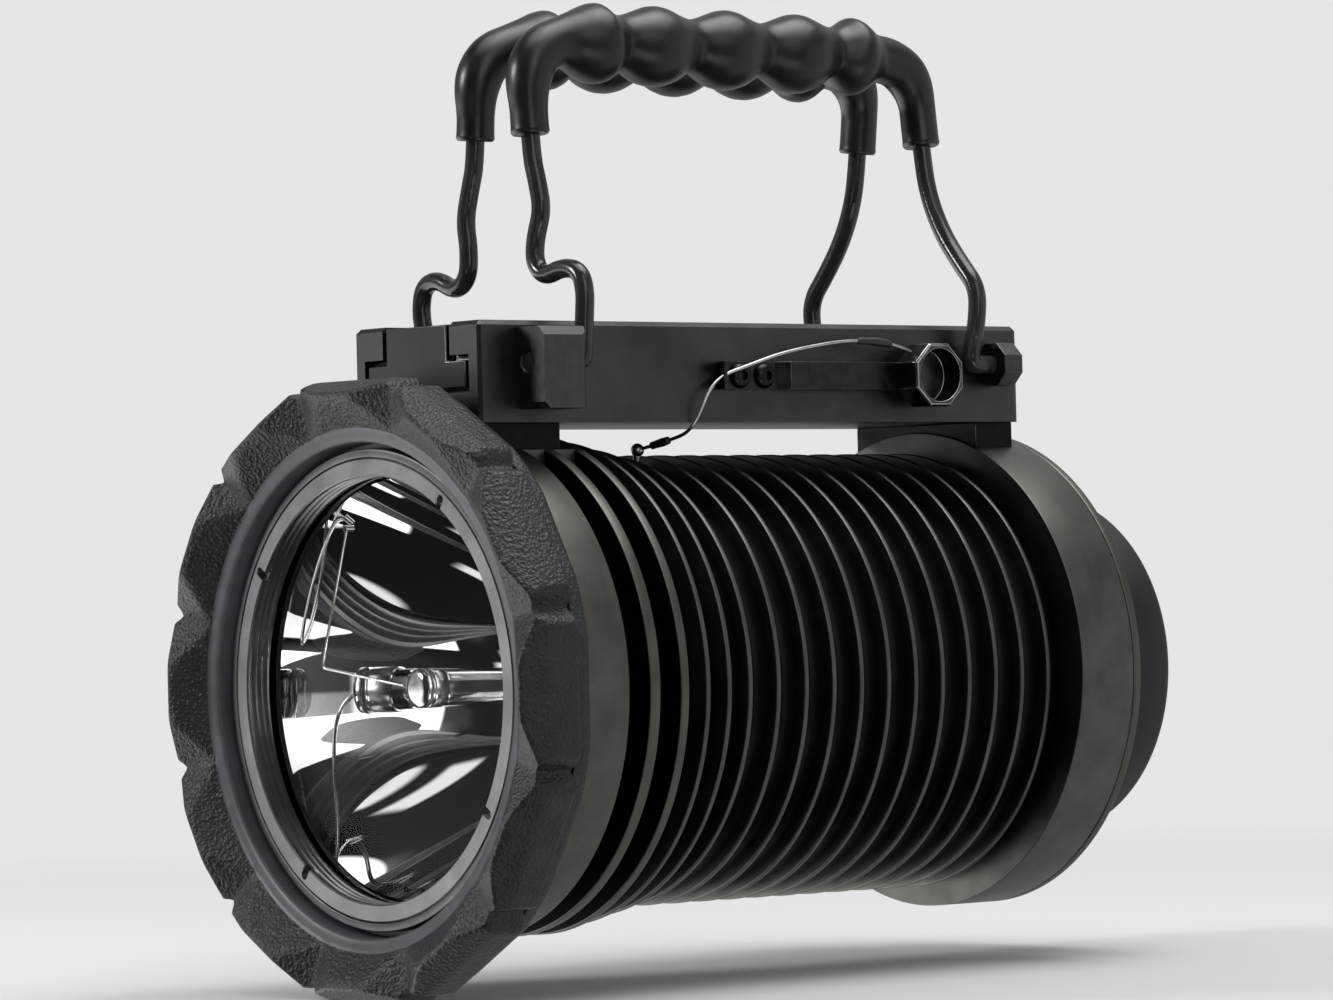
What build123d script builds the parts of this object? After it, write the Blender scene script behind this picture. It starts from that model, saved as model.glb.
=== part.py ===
"""Hand-held searchlight with a finned body, a rubber bezel and a pair of folding wire handles.

Every piece is drawn in the lamp's own frame: x to the right seen from in front of the lamp, which is
the left of the person who holds it, y along the beam axis from the retaining ring's face towards the
rear, z up from the beam axis. On export it is moved so that the origin lies under the middle of the
whole light, on the surface that it stands on. All lengths are millimetres.
"""

from build123d import *
from math import cos, radians, sin, sqrt, tan
import os

os.makedirs("parts", exist_ok=True)

# General
overrun = 1.0
press_gap = 0.1
slide_gap = 0.2
seam_gap = 0.2
pivot_gap = 0.05
screw_gap = 0.2
hex_sides = 6
octagon_sides = 8

# Retaining ring and its thread, at the front of the optics
ring_bore_r = 70.4
ring_wall = 6.0
ring_len = 9.0
ring_edge = 0.5
ridge_count = 3
ridge_pitch = 2.3
ridge_depth = 0.9
ridge_lead_in = 1.6
spanner_slot_w = 3.2
spanner_slot_len = 4.6
spanner_slot_deep = 2.6
spanner_slot_count = 4
spanner_slot_angle = 33.0

# Lens cell, the threaded front of the body
cell_wall = 2.9
cell_seat_step = 1.8
cell_seat_start = 6.0
cell_shelf_t = 6.5
cell_spigot_wall = 7.4
cell_rim_edge = 0.4

# Window, seal and reflector
window_t = 4.0
window_edge_gap = 0.5
seal_t = 1.0
seal_w = 3.9
flange_t = 1.5
focal_share = 0.2158
mirror_mouth_inset = 0.9
mirror_neck_r = 12.5
mirror_back_step = 3.0
mirror_neck_wall = 1.6
mirror_neck_len = 6.0

# Lamp, placed about the reflector's focus
bulb_r = 9.5
bulb_half_len = 13.0
bulb_wall = 1.6
bulb_wall_len = 2.0
stem_r = 6.0
front_stem_len = 56.0
rear_stem_len = 28.5
anode_r = 2.2
cathode_r = 1.4
arc_half_gap = 1.5
anode_nose_len = 2.0
anode_tip_r = 1.0
cathode_nose_len = 4.0
cathode_tip_r = 0.4
ferrule_wall = 0.6
ferrule_overlap = 5.0
ferrule_cap_len = 4.5
lamp_base_r = 8.0
lamp_base_overlap = 6.0
lamp_base_len = 16.0
electrode_seat_len = 2.0
holder_r = 24.0
holder_len = 24.0
holder_recess_len = 3.2
lead_r = 0.5
lead_post_r = 1.1
lead_post_len = 6.0
lead_post_inset = 4.5
lead_angle = 34.0
lead_knee_out_share = 0.74
lead_knee_rise_share = 0.11
lead_knee_gap = 2.0
lead_bend_r = 2.0

# Finned body
band_wall = 2.7
front_band_end = 41.5
front_groove_w = 8.6
front_groove_depth = 10.0
front_fin_land = 4.3
second_fin_land = 3.5
taper_fin_count = 3
taper_pitch = 11.1
fin_inset = 7.3
fin_pitch = 12.2
fin_count = 11
fin_land = 2.0
groove_depth = 9.0
rear_groove_w = 8.1
rear_band_len = 24.4
body_wall = 5.7
body_cone_start_step = 8.0
body_cone_len = 6.0
web_h = 4.0
web_t = 8.0
cap_bore_step = 4.0
cap_bore_len = 30.0
band_edge = 0.6

# Lamp carrier and the electronics stack behind it
carrier_t = 6.0
carrier_hole_r = 10.0
rod_r = 2.5
rod_x_share = 0.69
rod_z_share = 0.586
module_inset = 6.0
module_plate_margin = 4.0
module_plate_t = 3.0
igniter_len = 40.0
module_space = 6.0
ballast_len = 56.0

# Rear cap
cap_flange_t = 3.5
cap_plug_len = 10.7
cap_wall = 6.0
cap_pocket_wall = 9.8
o_ring_w = 3.0
o_ring_depth = 2.2
o_ring_land = 3.0
cap_screw_count = 6
cap_screw_r = 2.0
cap_screw_len = 12.0
cap_screw_angle = 30.0

# Rear bumper and control panel
bumper_bore_inset = 12.0
bumper_wall = 6.5
bumper_flare = 4.5
bumper_len = 38.0
bumper_waist_len = 5.0
bumper_shoulder_len = 24.0
bumper_lip_flare = 2.5
bumper_lip_len = 4.0
panel_t = 2.6
panel_edge_gap = 0.3
button_r = 9.0
button_x = 0.0
button_z = 21.0
button_rise = 6.0
button_travel = 1.5
button_stem_r = 3.0
button_edge = 0.8
collar_wall = 3.2
collar_len = 4.4
collar_gap = 0.25
socket_x = 0.0
socket_z = -17.0
socket_r = 10.0
socket_wall = 1.4
socket_len = 14.0
socket_flange_margin = 3.5
socket_flange_t = 2.2
socket_insert_len = 7.0
socket_pin_r = 1.1
socket_pin_circle_r = 4.4
socket_pin_count = 3
socket_pin_len = 12.0
panel_screw_count = 4
panel_screw_inset = 8.0
panel_screw_r = 1.5
panel_screw_len = 7.0

# Rubber bezel
bezel_wall = 20.5
bezel_lobes = 12
bezel_lip_gap = 2.0
bezel_lip_front = 4.0
bezel_lip_w = 4.5
bezel_lip_end_front = 5.0
bezel_ridge_front = 14.0
bezel_ridge_inset = 4.2
bezel_ridge_w = 1.8
bezel_ridge_half_len = 10.0
bezel_shoulder_front = 4.8
bezel_band_rear = 7.0
bezel_skirt_inset = 3.0
bezel_seat_end = 14.5
bezel_notch_r = 4.5
bezel_notch_depth = 2.7
bezel_notch_front = 7.0
bezel_corner_r = 2.5
bezel_skirt_notch_share = 0.7

# Rail housing on top and its slide-in insert
rail_half_w = 34.3
rail_h = 33.7
rail_front = 21.8
rail_rear_setback = 4.1
rail_rear_corner_r = 3.5
rail_top_edge = 1.6
rail_front_edge = 1.2
slot_wall = 5.7
slot_lip = 10.2
slot_neck_h = 11.0
slot_h = 12.9
slot_end_wall = 10.0
insert_reveal = 2.0
insert_reveal_len = 3.0
insert_gap = 0.15

# Mounts between the body and the rail housing
mount_h = 2.8
mount_inset = 2.8
front_mount_setback = 3.2
front_mount_len = 32.0
rear_mount_setback = 0.9
rear_mount_len = 17.6
mount_screw_r = 2.5
mount_screw_inset = 11.5
mount_screw_bite = 9.0

# Screw heads
button_head_r_share = 1.85
button_head_h_share = 1.0
button_shoulder_share = 0.766
button_flat_share = 0.423
hex_r_share = 0.8
hex_depth_share = 0.6

# Handle pivots on the rail housing's sides
pivot_out = 6.1
pivot_rise = 19.8
front_block_setback = 15.2
front_block_len = 19.0
block_out = 15.2
block_rise = 4.2
block_h = 27.0
block_top_edge = 3.0
block_bottom_edge = 2.0
block_rear_corner_r = 4.0
block_mouth_edge = 0.6
rear_boss_setback = 19.4
rear_boss_len = 9.0
rear_boss_flats = 15.0
rear_boss_edge = 0.8

# Wire handles and their grips, with the legs' corners as shares of the way to the pivot and up
wire_r = 3.175
wire_turn_r = 4.2
front_leg_gap = 4.4
rear_leg_gap = 9.0
wire_front_recess = 1.0
wire_rear_recess = 1.5
grip_x = 13.5
grip_rise = 108.8
knee_r = 12.0
front_crank_r = 6.5
rear_crank_r = 10.0
foot_r = 5.5
front_leg_shares = ((0.186, 0.545), (0.216, 0.298), (1.078, 0.238), (1.138, 0.119))
rear_leg_shares = ((0.26, 0.551), (0.561, 0.399), (1.119, 0.229), (1.138, 0.119))
elbow_r = 20.0
grip_crest_r = 13.1
grip_neck_r = 9.6
grip_lobe_pitch = 31.6
grip_full_lobes = 3
grip_end_lobe_half = 10.0
grip_end_crest_share = 0.97
grip_tube_r = 6.3
grip_collar_r = 5.8
grip_collar_len = 4.0
grip_leg_len = 14.0

# Latch on the near side of the rail housing
strip_t = 1.2
strip_half_h = 4.75
strip_rise = 15.7
knob_leg_gap = 23.0
strip_base_len = 24.0
lip_out = 7.0
lip_slant_angle = 30.0
lip_hole_r = 1.3
latch_screw_count = 2
latch_screw_first = 8.0
latch_screw_pitch = 10.7
latch_screw_r = 2.4
latch_screw_point_gap = 0.7
joggle_len = 4.0
joggle_out = 3.6
arm_len = 63.0
knob_flats = 21.7
knob_depth = 10.4
knob_bore_r = 9.2
knob_bore_depth = 8.4
knob_edge = 0.7
plunger_r = 3.0
plunger_hole_r = 4.0
plunger_point_gap = 1.1

# Lanyard cable between the knob and the body
cable_r = 0.6
sleeve_r = 1.5
lower_sleeve_setback = 1.2
sleeve_bend_reach = 1.2
anchor_post_r = 1.3
anchor_head_r = 2.3
anchor_sink = 3.0
bend_share = 0.45
cable_exit_setback = 8.8
lip_hole_setback = 2.0
lip_hole_out = 4.5
lip_hole_rise = 0.1
anchor_setback = 6.6
knob_side_outs = (9.7, 9.9, 9.9, 9.5, 8.7, 7.1)
knob_side_rises = (8.1, 10.9, 12.1, 9.9, 6.9, 3.1)
knob_side_along_share = (1, 0.9065, 0.6783, 0.4514, 0.2569, 0.1122)
body_side_outs = (3.8, 3.4, -0.1, -7.1, -20.5)
body_side_rises = (10.8, 3.8, -2.8, -5.4, -8.2)
body_side_along_share = (0.6154, 0.3974, 0.2821, 0.2051, 0)

# Worked-out places along the beam axis and about it
ring_r = ring_bore_r + ring_wall
cell_bore_r = ring_r + slide_gap
cell_rim_r = cell_bore_r + cell_wall
cell_seat_r = cell_rim_r + cell_seat_step
window_r = cell_bore_r - cell_seat_step
window_rear = ring_len + window_t
seal_rear = window_rear + seal_t
cell_shelf = seal_rear + flange_t
cell_rear = cell_shelf + cell_shelf_t
cell_spigot_r = ring_bore_r + cell_spigot_wall
mirror_mouth_r = ring_bore_r - mirror_mouth_inset
focal_len = mirror_mouth_r * focal_share
lead_post_circle_r = mirror_mouth_r - lead_post_inset
vertex_y = seal_rear + mirror_mouth_r ** 2 / (4 * focal_len)
focus_y = vertex_y - focal_len
band_r = cell_seat_r + band_wall
crest_r = band_r - fin_inset
body_bore_r = crest_r - groove_depth - body_wall
second_groove_start = front_band_end + front_groove_w + front_fin_land
front_grooves_end = second_groove_start + front_groove_w + second_fin_land
taper_end = front_grooves_end + taper_fin_count * taper_pitch
fins_end = taper_end + fin_count * fin_pitch
rear_band_start = fins_end + rear_groove_w
rear_band_end = rear_band_start + rear_band_len
cap_shoulder = rear_band_end - cap_bore_len
cap_rear = rear_band_end + seam_gap + cap_flange_t
bumper_rear = cap_rear + bumper_len
panel_rear = cap_rear + panel_t
holder_front = vertex_y + slide_gap
holder_rear = holder_front + holder_len
web_rear = holder_rear
carrier_rear = web_rear + carrier_t
ballast_start = carrier_rear + igniter_len + module_space
web_r = body_bore_r - web_h
rod_x = web_r * rod_x_share
rod_z = web_r * rod_z_share
module_half_w = rod_x - module_inset
module_half_h = rod_z - module_inset
cap_bore_r = body_bore_r + cap_bore_step
cap_screw_circle_r = (cap_bore_r + band_r) / 2
cap_pocket_y = cap_rear - cap_wall
bumper_bore_r = body_bore_r - bumper_bore_inset
bumper_waist_r = bumper_bore_r + bumper_wall
bumper_rim_r = bumper_waist_r + bumper_flare
bumper_lip_r = bumper_bore_r + bumper_lip_flare
panel_screw_circle_r = bumper_bore_r - panel_screw_inset
bezel_lip_r = cell_rim_r + bezel_lip_gap
bezel_flat_r = bezel_lip_r + bezel_wall
bezel_lip_end_r = bezel_lip_r + bezel_lip_w
bezel_ridge_out_r = bezel_flat_r - bezel_ridge_inset
bezel_notch_floor_r = bezel_flat_r - bezel_notch_depth
rail_bottom = band_r + mount_h
rail_top = rail_bottom + rail_h
rail_rear = rear_band_end - rail_rear_setback
slot_half_w = rail_half_w - slot_wall
slot_neck_half_w = slot_half_w - slot_lip
slot_floor = rail_top - slot_neck_h - slot_h
front_mount_start = rail_front + front_mount_setback
rear_mount_start = rear_band_start + rear_mount_setback
mount_half_w = rail_half_w - mount_inset
mount_screw_x = mount_half_w - mount_screw_inset
pivot_x = rail_half_w + pivot_out
pivot_z = rail_bottom + pivot_rise
front_block_start = rail_front + front_block_setback
front_block_end = front_block_start + front_block_len
rear_boss_start = rail_rear - rear_boss_setback
rear_boss_end = rear_boss_start + rear_boss_len
front_leg_y = front_block_end + front_leg_gap
rear_leg_y = rear_boss_start - rear_leg_gap
wire_front_end = front_block_start + wire_front_recess
wire_rear_end = rear_boss_end - wire_rear_recess
grip_z = pivot_z + grip_rise
front_leg_radii = (knee_r, front_crank_r, front_crank_r, foot_r)
rear_leg_radii = (knee_r, knee_r, rear_crank_r, foot_r)
strip_z = rail_bottom + strip_rise
strip_out = rail_half_w + strip_t
knob_y = rear_leg_y - knob_leg_gap
arm_start = knob_y - arm_len
strip_start = arm_start - strip_base_len
latch_screw_len = slot_wall - latch_screw_point_gap
arm_in = rail_half_w + joggle_out
knob_in = arm_in + strip_t
knob_out = knob_in + knob_depth
plunger_in = slot_half_w + plunger_point_gap
anchor_y = taper_end + anchor_setback
cable_exit_y = knob_y - cable_exit_setback
lip_hole_y = strip_start - lip_hole_setback
lip_hole_place = (rail_half_w + lip_hole_out, lip_hole_y, strip_z + lip_hole_rise)
knob_side_route = [
    (rail_half_w + out, lip_hole_y + share * (cable_exit_y - lip_hole_y), strip_z + rise)
    for out, share, rise in zip(knob_side_outs, knob_side_along_share, knob_side_rises)
]
body_side_route = [
    (rail_half_w + out, anchor_y + share * (lip_hole_y - anchor_y), rail_bottom + rise)
    for out, share, rise in zip(body_side_outs, body_side_along_share, body_side_rises)
]
cable_route = [*knob_side_route, lip_hole_place, *body_side_route]
base_height = bezel_flat_r
middle_y = (bumper_rear - bezel_ridge_front) / 2


def mirror_y(radius):
    """Place along the axis of the reflector's inner face at a radius."""
    return vertex_y - radius ** 2 / (4 * focal_len)


def turned(points):
    """Ring or disc turned about the beam axis from (radius, y) corners."""
    return revolve(make_face(Polyline(*points, close=True)), Axis.Y)


def turned_edges(*edges):
    """Ring or disc turned about the beam axis from a closed run of lines and arcs."""
    return revolve(make_face(list(edges)), Axis.Y)


def tube(outer, inner, start, end):
    """Plain ring about the beam axis."""
    return turned([(inner, start), (outer, start), (outer, end), (inner, end)])


def box(x_range, y_range, z_range):
    """Block between two corners."""
    sizes = [high - low for low, high in (x_range, y_range, z_range)]
    middle = [(high + low) / 2 for low, high in (x_range, y_range, z_range)]
    return Pos(*middle) * Box(*sizes)


def bar(radius, start, end, x=0, z=0):
    """Round bar parallel to the beam axis."""
    disc = Plane((x, start, z), x_dir=(1, 0, 0), z_dir=(0, 1, 0)) * Circle(radius)
    return extrude(disc, end - start)


def across(radius, start, end, y, z):
    """Round bar along x."""
    disc = Plane((start, y, z), x_dir=(0, 1, 0), z_dir=(1, 0, 0)) * Circle(radius)
    return extrude(disc, end - start)


def upright(radius, start, end, x, y):
    """Round bar along z."""
    disc = Plane((x, y, start), x_dir=(1, 0, 0), z_dir=(0, 0, 1)) * Circle(radius)
    return extrude(disc, end - start)


def cone_along(start, end, start_r, end_r):
    """Round tapered bar on the beam axis."""
    return turned([(0, start), (start_r, start), (end_r, end), (0, end)])


def outline_y(points, start, end):
    """Outline of (x, z) corners pushed along the beam axis."""
    face = make_face(Polyline(*[(x, start, z) for x, z in points], close=True))
    return extrude(face, end - start, dir=(0, 1, 0))


def outline_x(points, start, end):
    """Outline of (y, z) corners pushed along x."""
    face = make_face(Polyline(*[(start, y, z) for y, z in points], close=True))
    return extrude(face, end - start, dir=(1, 0, 0))


def outline_z(points, start, end):
    """Outline of (x, y) corners pushed along z."""
    face = make_face(Polyline(*[(x, y, start) for x, y in points], close=True))
    return extrude(face, end - start, dir=(0, 0, 1))


def around(angle):
    """Turn about the beam axis, from the top towards positive x."""
    return Rot(0, angle, 0)


def at_angle(angle, radius):
    """The (x, z) place at an angle from the top."""
    return radius * sin(radians(angle)), radius * cos(radians(angle))


def spread(count, first=0.0):
    """Evenly spaced angles round the axis."""
    return [first + 360 * index / count for index in range(count)]


def together(solids):
    """One node of several separate solids."""
    return Compound(children=[solid for item in solids for solid in item.solids()])


def button_screw(radius, length):
    """Button-head screw with a round socket, head up, its seat at z 0."""
    head_r = radius * button_head_r_share
    head_h = radius * button_head_h_share
    flat_r = head_r * button_flat_share
    profile = make_face([
        Line((0, 0), (head_r, 0)),
        ThreePointArc((head_r, 0), (head_r * button_shoulder_share, head_h * button_shoulder_share),
                      (flat_r, head_h)),
        Line((flat_r, head_h), (0, head_h)),
        Line((0, head_h), (0, 0)),
    ])
    head = revolve(Plane.XZ * profile, Axis.Z)
    hex_hole = extrude(Pos(0, 0, head_h) * RegularPolygon(radius * hex_r_share, hex_sides),
                       -head_h * hex_depth_share)
    shank = Pos(0, 0, -length / 2) * Cylinder(radius, length)
    return head - hex_hole + shank


def retaining_ring():
    """Threaded ring that holds the window, with spanner slots in its face."""
    ring = turned([
        (ring_bore_r, ring_edge), (ring_bore_r + ring_edge, 0), (ring_r - ring_edge, 0),
        (ring_r, ring_edge), (ring_r, ring_len), (ring_bore_r, ring_len),
    ])
    for index in range(ridge_count):
        groove_start = ridge_lead_in + index * ridge_pitch
        ring -= turned([
            (ring_bore_r - overrun, groove_start), (ring_bore_r, groove_start),
            (ring_bore_r + ridge_depth, groove_start + ridge_pitch / 2),
            (ring_bore_r, groove_start + ridge_pitch - ring_edge),
            (ring_bore_r - overrun, groove_start + ridge_pitch - ring_edge),
        ])
    for angle in spread(spanner_slot_count, spanner_slot_angle):
        slot_end = ring_bore_r + spanner_slot_len - spanner_slot_w / 2
        slot = box((-spanner_slot_w / 2, spanner_slot_w / 2), (-overrun, spanner_slot_deep),
                   (ring_bore_r - overrun, slot_end))
        slot += bar(spanner_slot_w / 2, -overrun, spanner_slot_deep, 0, slot_end)
        ring -= around(angle) * slot
    return ring


def lens_cell():
    """Front collar that the ring screws into and that carries window and reflector."""
    return turned([
        (cell_bore_r + cell_rim_edge, 0), (cell_rim_r - cell_rim_edge, 0), (cell_rim_r, cell_rim_edge),
        (cell_rim_r, cell_seat_start), (cell_seat_r, cell_seat_start), (cell_seat_r, bezel_seat_end),
        (cell_spigot_r - press_gap, bezel_seat_end), (cell_spigot_r - press_gap, cell_rear),
        (ring_bore_r + press_gap, cell_rear), (ring_bore_r + press_gap, cell_shelf),
        (window_r + window_edge_gap, cell_shelf), (window_r + window_edge_gap, ring_len),
        (cell_bore_r, ring_len), (cell_bore_r, cell_rim_edge),
    ])


def lens_window():
    """Flat glass behind the ring."""
    return turned([(0, ring_len), (window_r, ring_len), (window_r, window_rear), (0, window_rear)])


def lens_seal():
    """Flat gasket between the window and the reflector's flange."""
    return tube(window_r, window_r - seal_w, window_rear, seal_rear)


def reflector():
    """Thin parabolic mirror with a front flange and a short neck."""
    outer_neck_r = mirror_neck_r + mirror_neck_wall
    flange_rear = seal_rear + flange_t
    outer_mouth_r = sqrt(4 * focal_len * (vertex_y + mirror_back_step - flange_rear))
    inner_mid_y = vertex_y - mirror_mouth_r * mirror_neck_r / (4 * focal_len)
    outer_mid_y = vertex_y + mirror_back_step - outer_mouth_r * outer_neck_r / (4 * focal_len)
    neck_y = mirror_y(mirror_neck_r)
    outer_neck_y = mirror_y(outer_neck_r) + mirror_back_step
    neck_end = neck_y + mirror_neck_len
    return turned_edges(
        Bezier((mirror_mouth_r, seal_rear), ((mirror_mouth_r + mirror_neck_r) / 2, inner_mid_y),
               (mirror_neck_r, neck_y)),
        Line((mirror_neck_r, neck_y), (mirror_neck_r, neck_end)),
        Line((mirror_neck_r, neck_end), (outer_neck_r, neck_end)),
        Line((outer_neck_r, neck_end), (outer_neck_r, outer_neck_y)),
        Bezier((outer_neck_r, outer_neck_y), ((outer_neck_r + outer_mouth_r) / 2, outer_mid_y),
               (outer_mouth_r, flange_rear)),
        Line((outer_mouth_r, flange_rear), (window_r, flange_rear)),
        Line((window_r, flange_rear), (window_r, seal_rear)),
        Line((window_r, seal_rear), (mirror_mouth_r, seal_rear)),
    )


def lamp_envelope():
    """Quartz tube with a bulb round the arc, hollow there and bored for its electrodes."""
    front = focus_y - front_stem_len
    rear = focus_y + rear_stem_len
    outer_front = focus_y - bulb_half_len
    outer_rear = focus_y + bulb_half_len
    outer = turned_edges(
        Line((0, front), (stem_r, front)),
        Line((stem_r, front), (stem_r, outer_front)),
        ThreePointArc((stem_r, outer_front), (bulb_r, focus_y), (stem_r, outer_rear)),
        Line((stem_r, outer_rear), (stem_r, rear)),
        Line((stem_r, rear), (0, rear)),
        Line((0, rear), (0, front)),
    )
    hollow_front = outer_front + bulb_wall_len
    hollow_rear = outer_rear - bulb_wall_len
    hollow = turned_edges(
        Line((0, hollow_front), (anode_r, hollow_front)),
        ThreePointArc((anode_r, hollow_front), (bulb_r - bulb_wall, focus_y), (cathode_r, hollow_rear)),
        Line((cathode_r, hollow_rear), (0, hollow_rear)),
        Line((0, hollow_rear), (0, hollow_front)),
    )
    front_bore = bar(anode_r, front - overrun, focus_y)
    rear_bore = bar(cathode_r, focus_y, rear + overrun)
    return outer - hollow - front_bore - rear_bore


def lamp_electrodes():
    """Thick anode rod from the front and pointed cathode rod from the rear."""
    anode_start = focus_y - front_stem_len - electrode_seat_len
    anode_end = focus_y - arc_half_gap
    anode = bar(anode_r, anode_start, anode_end - anode_nose_len)
    anode += cone_along(anode_end - anode_nose_len, anode_end, anode_r, anode_tip_r)
    cathode_start = focus_y + arc_half_gap
    cathode_end = focus_y + rear_stem_len + electrode_seat_len
    cathode = cone_along(cathode_start, cathode_start + cathode_nose_len, cathode_tip_r, cathode_r)
    cathode += bar(cathode_r, cathode_start + cathode_nose_len, cathode_end)
    return together([anode, cathode])


def lamp_ferrule():
    """Metal cap on the lamp's front end."""
    stem_front = focus_y - front_stem_len
    ferrule = bar(stem_r + ferrule_wall, stem_front - ferrule_cap_len, stem_front + ferrule_overlap)
    ferrule -= bar(stem_r, stem_front, stem_front + ferrule_overlap + overrun)
    return ferrule - bar(anode_r, stem_front - electrode_seat_len, stem_front + overrun)


def lamp_base():
    """Metal base on the lamp's rear end."""
    stem_rear = focus_y + rear_stem_len
    base = bar(lamp_base_r, stem_rear - lamp_base_overlap, stem_rear - lamp_base_overlap + lamp_base_len)
    base -= bar(stem_r, stem_rear - lamp_base_overlap - overrun, stem_rear)
    return base - bar(cathode_r, stem_rear - overrun, stem_rear + electrode_seat_len)


def lamp_holder():
    """Ceramic holder for the lamp's base and the reflector's neck."""
    holder = tube(holder_r, lamp_base_r + slide_gap, holder_front, holder_rear)
    neck_r = mirror_neck_r + mirror_neck_wall + slide_gap
    return holder - bar(neck_r, holder_front - overrun, holder_front + holder_recess_len)


def lead_post():
    """Small post on the mirror near its rim, which the front lead is welded to."""
    x, z = at_angle(-lead_angle, lead_post_circle_r)
    return bar(lead_post_r, mirror_y(lead_post_circle_r) - lead_post_len,
               mirror_y(lead_post_circle_r + lead_post_r), x, z)


def front_lead():
    """Bare wire from the lamp's front cap out behind the window, then up to its post."""
    hub_y = focus_y - front_stem_len - ferrule_cap_len + lead_post_r
    x, z = at_angle(-lead_angle, lead_post_circle_r)
    knee = (-lead_post_circle_r * lead_knee_out_share, seal_rear + lead_knee_gap,
            lead_post_circle_r * lead_knee_rise_share)
    end = (x, mirror_y(lead_post_circle_r) - lead_post_len + lead_post_r, z)
    lead = along([(0, hub_y, 0), knee, end], [lead_bend_r], lead_r)
    return lead - lamp_ferrule() - lead_post()


def front_fin_edges():
    """Start and end of each deep groove behind the front band."""
    return [(start, start + front_groove_w) for start in (front_band_end, second_groove_start)]


def fin_crests():
    """Rear edge and radius of each fin behind the front grooves."""
    crests = []
    for index in range(1, taper_fin_count + 1):
        radius = band_r - (band_r - crest_r) * index / taper_fin_count
        crests.append((front_grooves_end + index * taper_pitch, radius))
    for index in range(1, fin_count + 1):
        crests.append((taper_end + index * fin_pitch, crest_r))
    return crests


def body_housing():
    """Finned aluminium body, with a solid pad under the front mount."""
    floor_r = crest_r - groove_depth
    points = [
        (cell_spigot_r, bezel_seat_end), (band_r - band_edge, bezel_seat_end),
        (band_r, bezel_seat_end + band_edge), (band_r, front_grooves_end),
    ]
    for rear_edge, radius in fin_crests():
        points += [(radius, rear_edge - fin_land), (radius, rear_edge)]
    points += [
        (crest_r, rear_band_start), (band_r - band_edge, rear_band_start),
        (band_r, rear_band_start + band_edge), (band_r, rear_band_end - band_edge),
        (band_r - band_edge, rear_band_end), (cap_bore_r, rear_band_end), (cap_bore_r, cap_shoulder),
        (body_bore_r, cap_shoulder), (body_bore_r, web_rear), (web_r, web_rear),
        (web_r, web_rear - web_t), (body_bore_r, web_rear - web_t),
        (body_bore_r, cell_rear + body_cone_start_step + body_cone_len),
        (ring_bore_r, cell_rear + body_cone_start_step), (ring_bore_r, cell_rear),
        (cell_spigot_r, cell_rear),
    ]
    profile = make_face(Polyline(*points, close=True))
    groove_start = front_grooves_end
    for rear_edge, radius in [*fin_crests(), (rear_band_start + fin_land, crest_r)]:
        width = rear_edge - fin_land - groove_start
        middle = groove_start + width / 2
        reach = band_r + overrun - floor_r - width / 2
        slot = Pos(floor_r + width / 2 + reach / 2, middle) * Rectangle(reach, width)
        slot += Pos(floor_r + width / 2, middle) * Circle(width / 2)
        profile -= slot
        groove_start = rear_edge
    body = revolve(profile, Axis.Y)
    pad = box((-mount_half_w, mount_half_w), (bezel_seat_end, taper_end), (0, band_r + overrun))
    for start, end in front_fin_edges():
        body -= tube(band_r + overrun, band_r - front_groove_depth, start, end) - pad
    for x, y in mount_screw_places():
        body -= upright(mount_screw_r, body_pad_floor(x), band_r + overrun, x, y)
    for angle in spread(cap_screw_count, cap_screw_angle):
        x, z = at_angle(angle, cap_screw_circle_r)
        body -= bar(cap_screw_r, cap_rear - cap_screw_len, rear_band_end + overrun, x, z)
    return body - anchor_post()


def body_pad_floor(x):
    """Height of the bottom of a mount screw's hole."""
    return sqrt(band_r ** 2 - x ** 2) - mount_screw_bite


def anchor_centre():
    """Middle of the anchor's ball, just past the cable's lower end."""
    end = Vector(*cable_route[-1])
    run = end - Vector(*cable_route[-2])
    return end + run.normalized() * anchor_head_r


def anchor_post():
    """Post from the anchor's ball straight down into the body."""
    centre = anchor_centre()
    outward = Vector(centre.X, 0, centre.Z).normalized()
    foot = outward * (crest_r - groove_depth - anchor_sink) + Vector(0, centre.Y, 0)
    run = centre - foot
    return extrude(Plane(origin=foot, z_dir=run) * Circle(anchor_post_r), run.length)


def mount_screw_places():
    """Place of each screw that holds the rail housing down, as (x, y)."""
    rows = (front_mount_start + front_mount_len / 2, rear_mount_start + rear_mount_len / 2)
    return [(x, y) for y in rows for x in (-mount_screw_x, mount_screw_x)]


def mount(start, length):
    """Saddle between the round body and the flat underside of the rail housing."""
    side_z = sqrt(band_r ** 2 - mount_half_w ** 2)
    block = box((-mount_half_w, mount_half_w), (start, start + length), (side_z, rail_bottom))
    block -= bar(band_r, start - overrun, start + length + overrun)
    for x, y in mount_screw_places():
        block -= upright(mount_screw_r + screw_gap, side_z - overrun, rail_bottom + overrun, x, y)
    return block


def slot_outline(neck, wide, gap, floor, top):
    """Inverted T of (x, z) corners."""
    shoulder = rail_top - slot_neck_h - gap
    return [
        (-neck, top), (-neck, shoulder), (-wide, shoulder), (-wide, floor),
        (wide, floor), (wide, shoulder), (neck, shoulder), (neck, top),
    ]


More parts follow.
